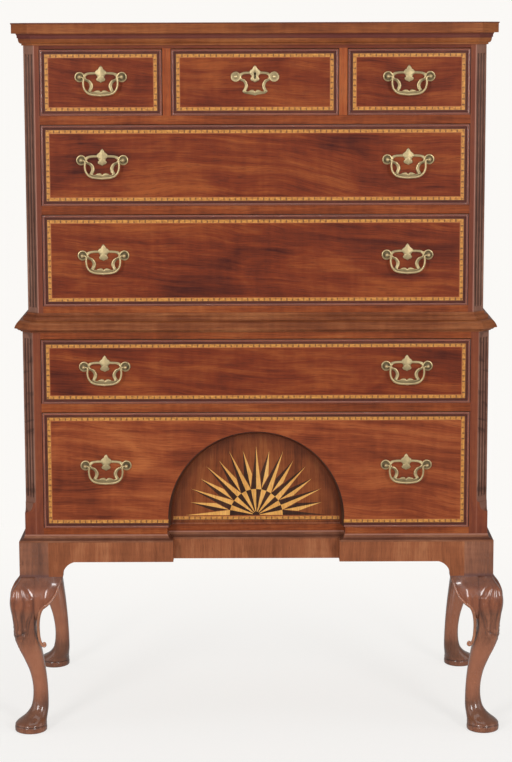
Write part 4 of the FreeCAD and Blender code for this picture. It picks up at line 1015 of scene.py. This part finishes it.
# right half of the strap from the pendant by the ear to the middle below: outer edge x, z, inner edge x, z
STRAP = np.array([(6, 10.8, 6, 5.4), (13, 10.8, 12, 5.4), (20, 10.6, 19.5, 5.2), (27.5, 9.8, 26.5, 4.4),
                  (34, 7.6, 30.6, 1.8), (39, 3, 32, -1), (39, -3, 31.5, -2.6), (35, -7.6, 29, -4.2),
                  (28.6, -10.6, 23.5, -6.2), (24.9, -15.2, 18.4, -12.4), (24.3, -20.8, 16.2, -19.4),
                  (26.6, -26.6, 18.2, -27), (29.8, -31, 20.4, -30.6), (24.5, -35.4, 15.5, -31.2),
                  (17, -37, 11.5, -28.8), (10, -38, 6.6, -27.8), (5, -38.8, 3, -28.6),
                  (0, -40.3, 0, -31.4)])
# across the strap: share of the way from the outer edge to the inner, rise and dullness
STRAP_SHARE = np.array([0, 0, 0.14, 0.42, 0.7, 0.88, 1, 1, 0])
STRAP_RISE = np.array([-0.3, 0.9, 1.5, 1.7, 2.7, 2.3, 1.0, -0.3, -0.3])
STRAP_DULL = np.array([1, 0.9, 0.35, 0.45, 0, 0.1, 0.6, 1, 1])
PENDANT = np.array([(0, 24.6), (3.4, 21.4), (5.6, 17.2), (9.3, 14.4), (12.1, 11), (12, 6.6), (8.4, 2.4),
                    (7.7, -1), (10.2, -4.6), (8.2, -8.4), (3.6, -10.2), (0, -12.4)])
PENDANT_MIDDLE = (0, 3)
# turned profiles: radius, rise, dullness
POST_TURN = np.array([(9.8, -0.3, 1), (10.9, 0.8, 0.4), (11.1, 1.7, 0), (10.4, 2.9, 0), (9.2, 3.2, 0),
                      (8.1, 2.5, 0.6), (6.8, 1.5, 1), (4.6, 1.1, 1), (3.2, 1.4, 1), (2.6, 2.8, 0.8),
                      (2.5, 8.4, 0.4), (3.2, 9.2, 0), (2.6, 10, 0.3), (3, 11, 0.1), (3.9, 12.5, 0),
                      (4.1, 13.7, 0), (3.8, 15.1, 0), (2.8, 16.7, 0), (1.3, 17.5, 0), (0.15, 17.7, 0)])
PIN_TURN = np.array([(9.8, -0.3, 1), (10.9, 0.8, 0.3), (11, 1.6, 0), (10, 2.7, 0), (7.6, 2.2, 0.6),
                     (5, 2.4, 0.5), (3.3, 4.1, 0), (1.7, 4.8, 0), (0.15, 5, 0)])
# middle line of a bail, right half, and its radius
BAIL = np.array([(43.5, 0, 1.4), (41, 0.1, 1.5), (37.8, -1.2, 1.8), (36.1, -4.6, 2.0), (36.9, -12, 2.1),
                 (36, -20, 2.1), (33.2, -27.2, 2.2), (27, -33.6, 2.4), (18, -36.8, 2.5), (8, -38, 2.3),
                 (3, -38.2, 2.4), (0, -38.6, 2.7)])
ROUND_24 = np.linspace(0, 2 * math.pi, 25)


def mirrored(right):
    """A right half and its mirror image as one row of points; columns named in pairs x, z."""
    return np.vstack([right, (right * np.resize((-1, 1), right.shape[1]))[-2::-1]])


class Pull:
    """Where one pull sits on its drawer front."""

    def __init__(self, middle, field):
        level = (field["bottom"] + field["top"] + DRAWER_GAP) / 2 + PULL_RISE
        self.origin = np.array([middle, field["face"], level])

    def space(self, x, z, rise):
        """From millimetres beside and above the middle, and out of the front, to the frame."""
        return self.origin + np.stack(np.broadcast_arrays(x, -rise, z), axis=-1) / 1000


def strap(form, pull, squeeze):
    """The pierced strap, one rounded ribbon from the pendant round both ears and back."""
    pairs = mirrored(spline(STRAP * (squeeze, 1, squeeze, 1), 4))[:, None]
    x = pairs[..., 0] * (1 - STRAP_SHARE) + pairs[..., 2] * STRAP_SHARE
    z = pairs[..., 1] * (1 - STRAP_SHARE) + pairs[..., 3] * STRAP_SHARE
    form.tube(pull.space(x, z, STRAP_RISE), tone=np.broadcast_to(STRAP_DULL, x.shape))


def keyhole_edge(direction):
    """Edge of a keyhole, a round hole over a slot, in each direction from the middle between them."""
    sine, cosine = np.sin(direction), np.cos(direction)
    above, hole, slot, down = 5.0, 2.8, 1.4, 6.0
    reach = np.sqrt(np.maximum(hole**2 - (above * sine) ** 2, 0)) + above * cosine
    wall = slot / np.maximum(np.abs(sine), 0.01)
    floor = np.where(cosine < -0.01, down / np.maximum(-cosine, 0.01), 99)
    narrow = np.minimum(wall, floor)
    radius = np.where((cosine > 0) & (above * np.abs(sine) < hole), reach, narrow)
    return np.stack([radius * sine, 1 + radius * cosine], axis=-1)


def pendant(form, pull, keyhole):
    """The spade in the middle of a plate, domed, or with a keyhole through it."""
    edge = mirrored(spline(PENDANT, 4))
    if keyhole:
        centre = keyhole_edge(np.arctan2(edge[:, 0], edge[:, 1] - 1))
        share = np.array([0, 0, 0.08, 0.3, 0.7, 0.95, 1, 1, 0])
        rise = np.array([-0.3, 0.9, 1.9, 2.5, 2.6, 2.3, 1.8, -0.3, -0.3])
        dull = np.array([1, 0.9, 0.2, 0, 0.1, 0.3, 0.9, 1, 1])
    else:
        centre = np.broadcast_to(PENDANT_MIDDLE, edge.shape)
        share = np.array([0, 0, 0.08, 0.22, 0.5, 0.97])
        rise = np.array([-0.3, 0.9, 2.1, 2.5, 3.1, 3.6])
        dull = np.array([1, 0.9, 0.1, 0.35, 0.15, 0])
    points = edge + (centre - edge) * share[:, None, None]
    form.tube(pull.space(points[..., 0], points[..., 1], rise[:, None]), ring=keyhole,
              tone=np.broadcast_to(dull[:, None], points.shape[:2]))


def turned(form, pull, x, profile):
    """A turned piece on the post's axis."""
    radius, rise, dull = profile.T[:, :, None]
    form.tube(pull.space(x + radius * np.sin(ROUND_24), radius * np.cos(ROUND_24), rise),
              tone=np.broadcast_to(dull, (len(profile), len(ROUND_24))))


def metal(name, colour, roughness):
    """Cast metal, rubbed bright on its high parts and dull where its tone says that it is hollow."""
    paint = Paint(name)
    x, y, z = positions(paint, "x")
    blotch = paint.noise(paint.vector(x * 60, y * 60, z * 60), detail=3.0)
    hollow = paint.tone()
    dull = blotch.within(0.45, 0.75) * 0.25 + hollow * 0.75
    shade = paint.mix(dull, srgb(*colour), srgb(*(0.36 * np.array(colour))))
    rough = blotch * 0.16 + (roughness - 0.08) + hollow * 0.2
    return paint.finish(Base_Color=shade, Metallic=0.75, Roughness=rough)


brass = metal("brass", (206, 184, 138), 0.44)
steel = metal("steel", (150, 150, 152), 0.38)
for name in DRAWERS:
    form = Form()
    if name == "small_centre":
        pull = Pull(0, fields[name])
        strap(form, pull, ESCUTCHEON_HALF / PULL_HALF)
        pendant(form, pull, True)
        for x in (-ESCUTCHEON_HALF, ESCUTCHEON_HALF):
            turned(form, pull, x, PIN_TURN)
    for node in [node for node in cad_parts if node.startswith(f"{name}_bail")]:
        pull = Pull((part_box(node)[0][0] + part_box(node)[1][0]) / 2, fields[name])
        strap(form, pull, 1)
        pendant(form, pull, False)
        for x in (-PULL_HALF, PULL_HALF):
            turned(form, pull, x, POST_TURN)
        wire = mirrored(spline(BAIL, 5)[:, :2])
        radius = spline(BAIL, 5)[:, 2]
        handle = Form()
        path = pull.space(wire[:, 0], wire[:, 1], np.full(len(wire), HINGE_RISE))
        rope(handle, path, np.concatenate([radius, radius[-2::-1]]) / 1000)
        handle.piece(f"{node}_cast", brass, node, "brass", [node])
    form.piece(f"{name}_cast_plates", brass, f"{name}_drawer", "brass", [f"{name}_pull_plates"])

# %% [markdown]
# ## Finishes of the carried-over pieces
# Boards, drawers, niche and lock keep their CAD shape, so they only need their woods and metals. A drawer
# front is one solid: its bead lies under the cock bead made above, and veneer, a millimetre and a half
# thick, and the oak core behind it are told apart by how far back a point lies.

# %% Finishes of the carried-over pieces


VENEER = 0.0015


def arch_distance(across, height):
    """Distance from the middle of the niche's arch; below the springing, from its upright middle line."""
    up = height.math("MAXIMUM", height - (niche_high[2] - niche_high[0]), 0.0)
    return up.math("SQRT", across * across + up * up)


def fronted(name, face, woods):
    """Figured veneer on the face of a drawer front, oak behind it, and a dark edge round the niche."""
    paint = Paint(name)
    along, across, depth = positions(paint, "x")
    slanted = across + along * 0.07
    tone, pores = wood_tone(paint, along, slanted, depth * 0.2, 1.0, 0.8, 0.45, 0.16, waver=0.08)
    veneer = polished(paint, tone, pores, *woods)
    oak_tone, oak_pores = wood_tone(paint, depth, along, across, 0.6, 0.9, FIBRE, 0.1)
    core = polished(paint, oak_tone, oak_pores, *OAK)
    behind = depth.within(face + VENEER - 0.0001, face + VENEER + 0.0001)
    veneer["Base_Color"] = paint.mix(behind, veneer["Base_Color"], core["Base_Color"])
    edge = arch_distance(along, across).within(notch - 0.0016, notch - 0.0024)
    veneer["Base_Color"] = paint.mix(edge * 0.9, veneer["Base_Color"], srgb(56, 32, 30))
    veneer["Coat_Weight"] = (1 - behind) * 0.1
    return paint.finish(**veneer)


def apron_material():
    """Upright grain, with painted shade in the corners of the recess."""
    paint = Paint("apron_walnut")
    height, side, depth = positions(paint, "z")
    tone, pores = wood_tone(paint, height, side, depth, 0.7, 0.6, FIBRE, 0.15)
    parts = polished(paint, tone, pores, (106, 56, 32), (148, 86, 54), (178, 116, 78))
    out = side.math("ABSOLUTE", side)
    # painted shade at the returns of the recess
    recess_shade = out.within(notch - 0.012, notch - 0.003) * depth.within(lower_front + 0.012, lower_front + 0.02)
    recess_shade = recess_shade * out.within(notch + 0.01, notch + 0.006)
    parts["Base_Color"] = paint.mix(recess_shade * 0.7, parts["Base_Color"], srgb(62, 38, 38))
    return paint.finish(**parts)


apron_walnut = apron_material()


def niche_material():
    """Upright grain; the panel darkens towards the lining, told by the distance from the arch's middle."""
    paint = Paint("niche_walnut")
    along, across, depth = positions(paint, "z")
    tone, pores = wood_tone(paint, along, across, depth, 0.7, 0.8, FIBRE, 0.2)
    panel = polished(paint, tone, pores, (78, 36, 16), (130, 66, 32), (158, 92, 48))
    radius = arch_distance(across, along)
    shade = radius.within(notch - 0.06, notch) * 0.5
    lining = radius.within(notch - 0.013, notch - 0.003) * 0.9
    colour = paint.mix(shade, panel["Base_Color"], srgb(84, 40, 28))
    panel["Base_Color"] = paint.mix(lining, colour, srgb(52, 32, 32))
    return paint.finish(**panel)


upper_veneer = fronted("upper_front_veneer", upper_front, FIELD)
deep_veneer = fronted("lower_front_veneer", lower_front, LOW_FIELD)
shallow_veneer = fronted("shallow_front_veneer", lower_front, FIELD)
niche_walnut = niche_material()
light_ray = wood("light_ray", "z", (184, 122, 58), (224, 164, 86), (240, 192, 120), cloud=0.5, streak=0.5)
dark_ray = wood("dark_ray", "z", (34, 18, 12), (62, 36, 25), (88, 54, 38), cloud=0.5, streak=0.5)

finishes = {
    "upper_sides": side_walnut, "lower_sides": side_walnut, "upper_rails": rail_walnut,
    "lower_rails": rail_walnut, "drawer_dividers": stile_walnut, "apron_front": apron_walnut,
    "apron_sides_and_back": apron_walnut, "knee_brackets": carved_walnut, "upper_boards": pine,
    "lower_boards": pine, "upper_back_boards": pine, "lower_back_boards": pine, "drawer_runners": oak,
    "sunburst_niche": niche_walnut,
    "sunburst_light_rays": light_ray, "sunburst_dark_rays": dark_ray, "lock_case": brass, "lock_bolt": steel,
}
veneers = {"shallow": shallow_veneer, "deep": deep_veneer}
for name in DRAWERS:
    finishes[f"{name}_drawer_front"] = veneers.get(name, upper_veneer)
    finishes[f"{name}_drawer_box"] = oak
    finishes[f"{name}_pull_plates"] = brass
finishes.update({name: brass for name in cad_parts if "_bail" in name})
for name, material in finishes.items():
    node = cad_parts[name]
    if not node.material_slots:
        node.data.materials.append(material)
    for place in node.material_slots:
        place.material = material
print("finished nodes", len(finishes))

# %% [markdown]
# ## The studio
# The floor runs back and curves up into the backdrop as one sheet, so there is no line where they meet. To
# the camera the sheet is nearly white and keeps part of the shadow; polish and brass reflect a dim grey, so
# that they stay dark. Two tall softboxes in front put the two soft highlights on the feet, a dim panel
# lights each side, and one lamp hangs overhead.

# %% The studio


FLOOR_GAP = 0.0002


def backdrop_sheet():
    """Floor, quarter circle and wall: a profile in Y and Z swept along X."""
    turn = np.linspace(0, math.pi / 2, 17)
    radius, near, depth, height, half = 2.5, -12, 9.0, 12.0, 14
    bend = np.stack([depth + radius * np.sin(turn), radius * (1 - np.cos(turn))], axis=1)
    profile = np.vstack([[near, 0], bend, [depth + radius, height]])
    across = np.linspace(-half, half, 7)
    x = np.broadcast_to(across[None, :], (len(profile), len(across)))
    y = np.broadcast_to(profile[:, :1], x.shape)
    z = np.broadcast_to(profile[:, 1:], x.shape) - FLOOR_GAP
    number = np.arange(x.size).reshape(x.shape)
    mesh = bpy.data.meshes.new("backdrop")
    mesh.from_pydata(np.stack([x, y, z], axis=-1).reshape(-1, 3).tolist(), [],
                     corners_of(number).reshape(-1, 4)[:, ::-1].tolist())
    mesh.shade_smooth()
    return placed("backdrop", mesh)


def backdrop_material():
    """For the camera six tenths even white light and four tenths lit floor, so that the shadow stays faint.

    Towards the back the floor's share goes to nothing. Reflections see a dim grey, so that flat polish stays
    dark.
    """
    paint = Paint("backdrop")
    diffuse = paint.node("ShaderNodeBsdfDiffuse", None, {"Color": (0.86, 0.85, 0.84, 1)})
    far = positions(paint, "y")[0].within(-0.6, 1.8)
    light = paint.mix(far, (1.12, 1.108, 1.085, 1), srgb(251, 249, 246))
    white = paint.node("ShaderNodeEmission", None, {"Color": light, "Strength": 1.0})
    dim = paint.node("ShaderNodeEmission", None, {"Color": srgb(150, 148, 146), "Strength": 1.0})
    camera_ray = paint.node("ShaderNodeLightPath", output="Is Camera Ray")
    lit = paint.node("ShaderNodeMixShader", None, {0: camera_ray * (far * 0.4 + 0.6), 1: diffuse, 2: white})
    mixed = paint.node("ShaderNodeMixShader", None, {0: camera_ray.part("Is Glossy Ray"), 1: lit, 2: dim})
    paint.node_output(mixed)
    return paint.material


backdrop = backdrop_sheet()
backdrop.data.materials.append(backdrop_material())


def softbox(name, place, aim, width, height, power):
    """A rectangular area light that looks at a point."""
    light = bpy.data.lights.new(name, "AREA")
    light.shape = "RECTANGLE"
    light.size, light.size_y = width, height
    light.energy = power
    made = placed(name, light)
    made.location = place
    away = np.array(place) - aim
    made.rotation_euler = (math.acos(away[2] / np.linalg.norm(away)), 0, math.atan2(away[0], -away[1]))


# name, place, aim, width and height in metres, power in watts
LAMPS = (("left_softbox", (-2.2, -4.3, 2.2), (0, 0, 0.9), 0.9, 2.2, 92),
         ("right_softbox", (2.2, -4.3, 2.2), (0, 0, 0.9), 0.9, 2.2, 84),
         ("left_panel", (-3.4, -1.0, 1.4), (0, -0.2, 0.9), 2.0, 2.6, 12),
         ("right_panel", (3.4, -1.0, 1.4), (0, -0.2, 0.9), 2.0, 2.6, 12),
         ("top_softbox", (0, -0.6, 4.4), (0, 0.2, 0), 3.2, 2.4, 26))
for lamp in LAMPS:
    softbox(*lamp)
world = bpy.data.worlds.new("studio")
bpy.context.scene.world = world
world.use_nodes = True
background = world.node_tree.nodes["Background"]
background.inputs["Color"].default_value = (1, 1, 1, 1)
background.inputs["Strength"].default_value = 0.22

LENS = 102.28
CAMERA_PLACE = (0.0025, -4.924, 1.527)
DEGREES_DOWN = 8.984
DEGREES_ROLL = 0.17
camera_data = bpy.data.cameras.new("camera")
camera_data.lens = LENS
camera = placed("camera", camera_data)
camera.location = CAMERA_PLACE
camera.rotation_euler = (math.radians(90 - DEGREES_DOWN), math.radians(DEGREES_ROLL), 0)
bpy.context.scene.camera = camera
bpy.context.scene.view_settings.view_transform = "Standard"
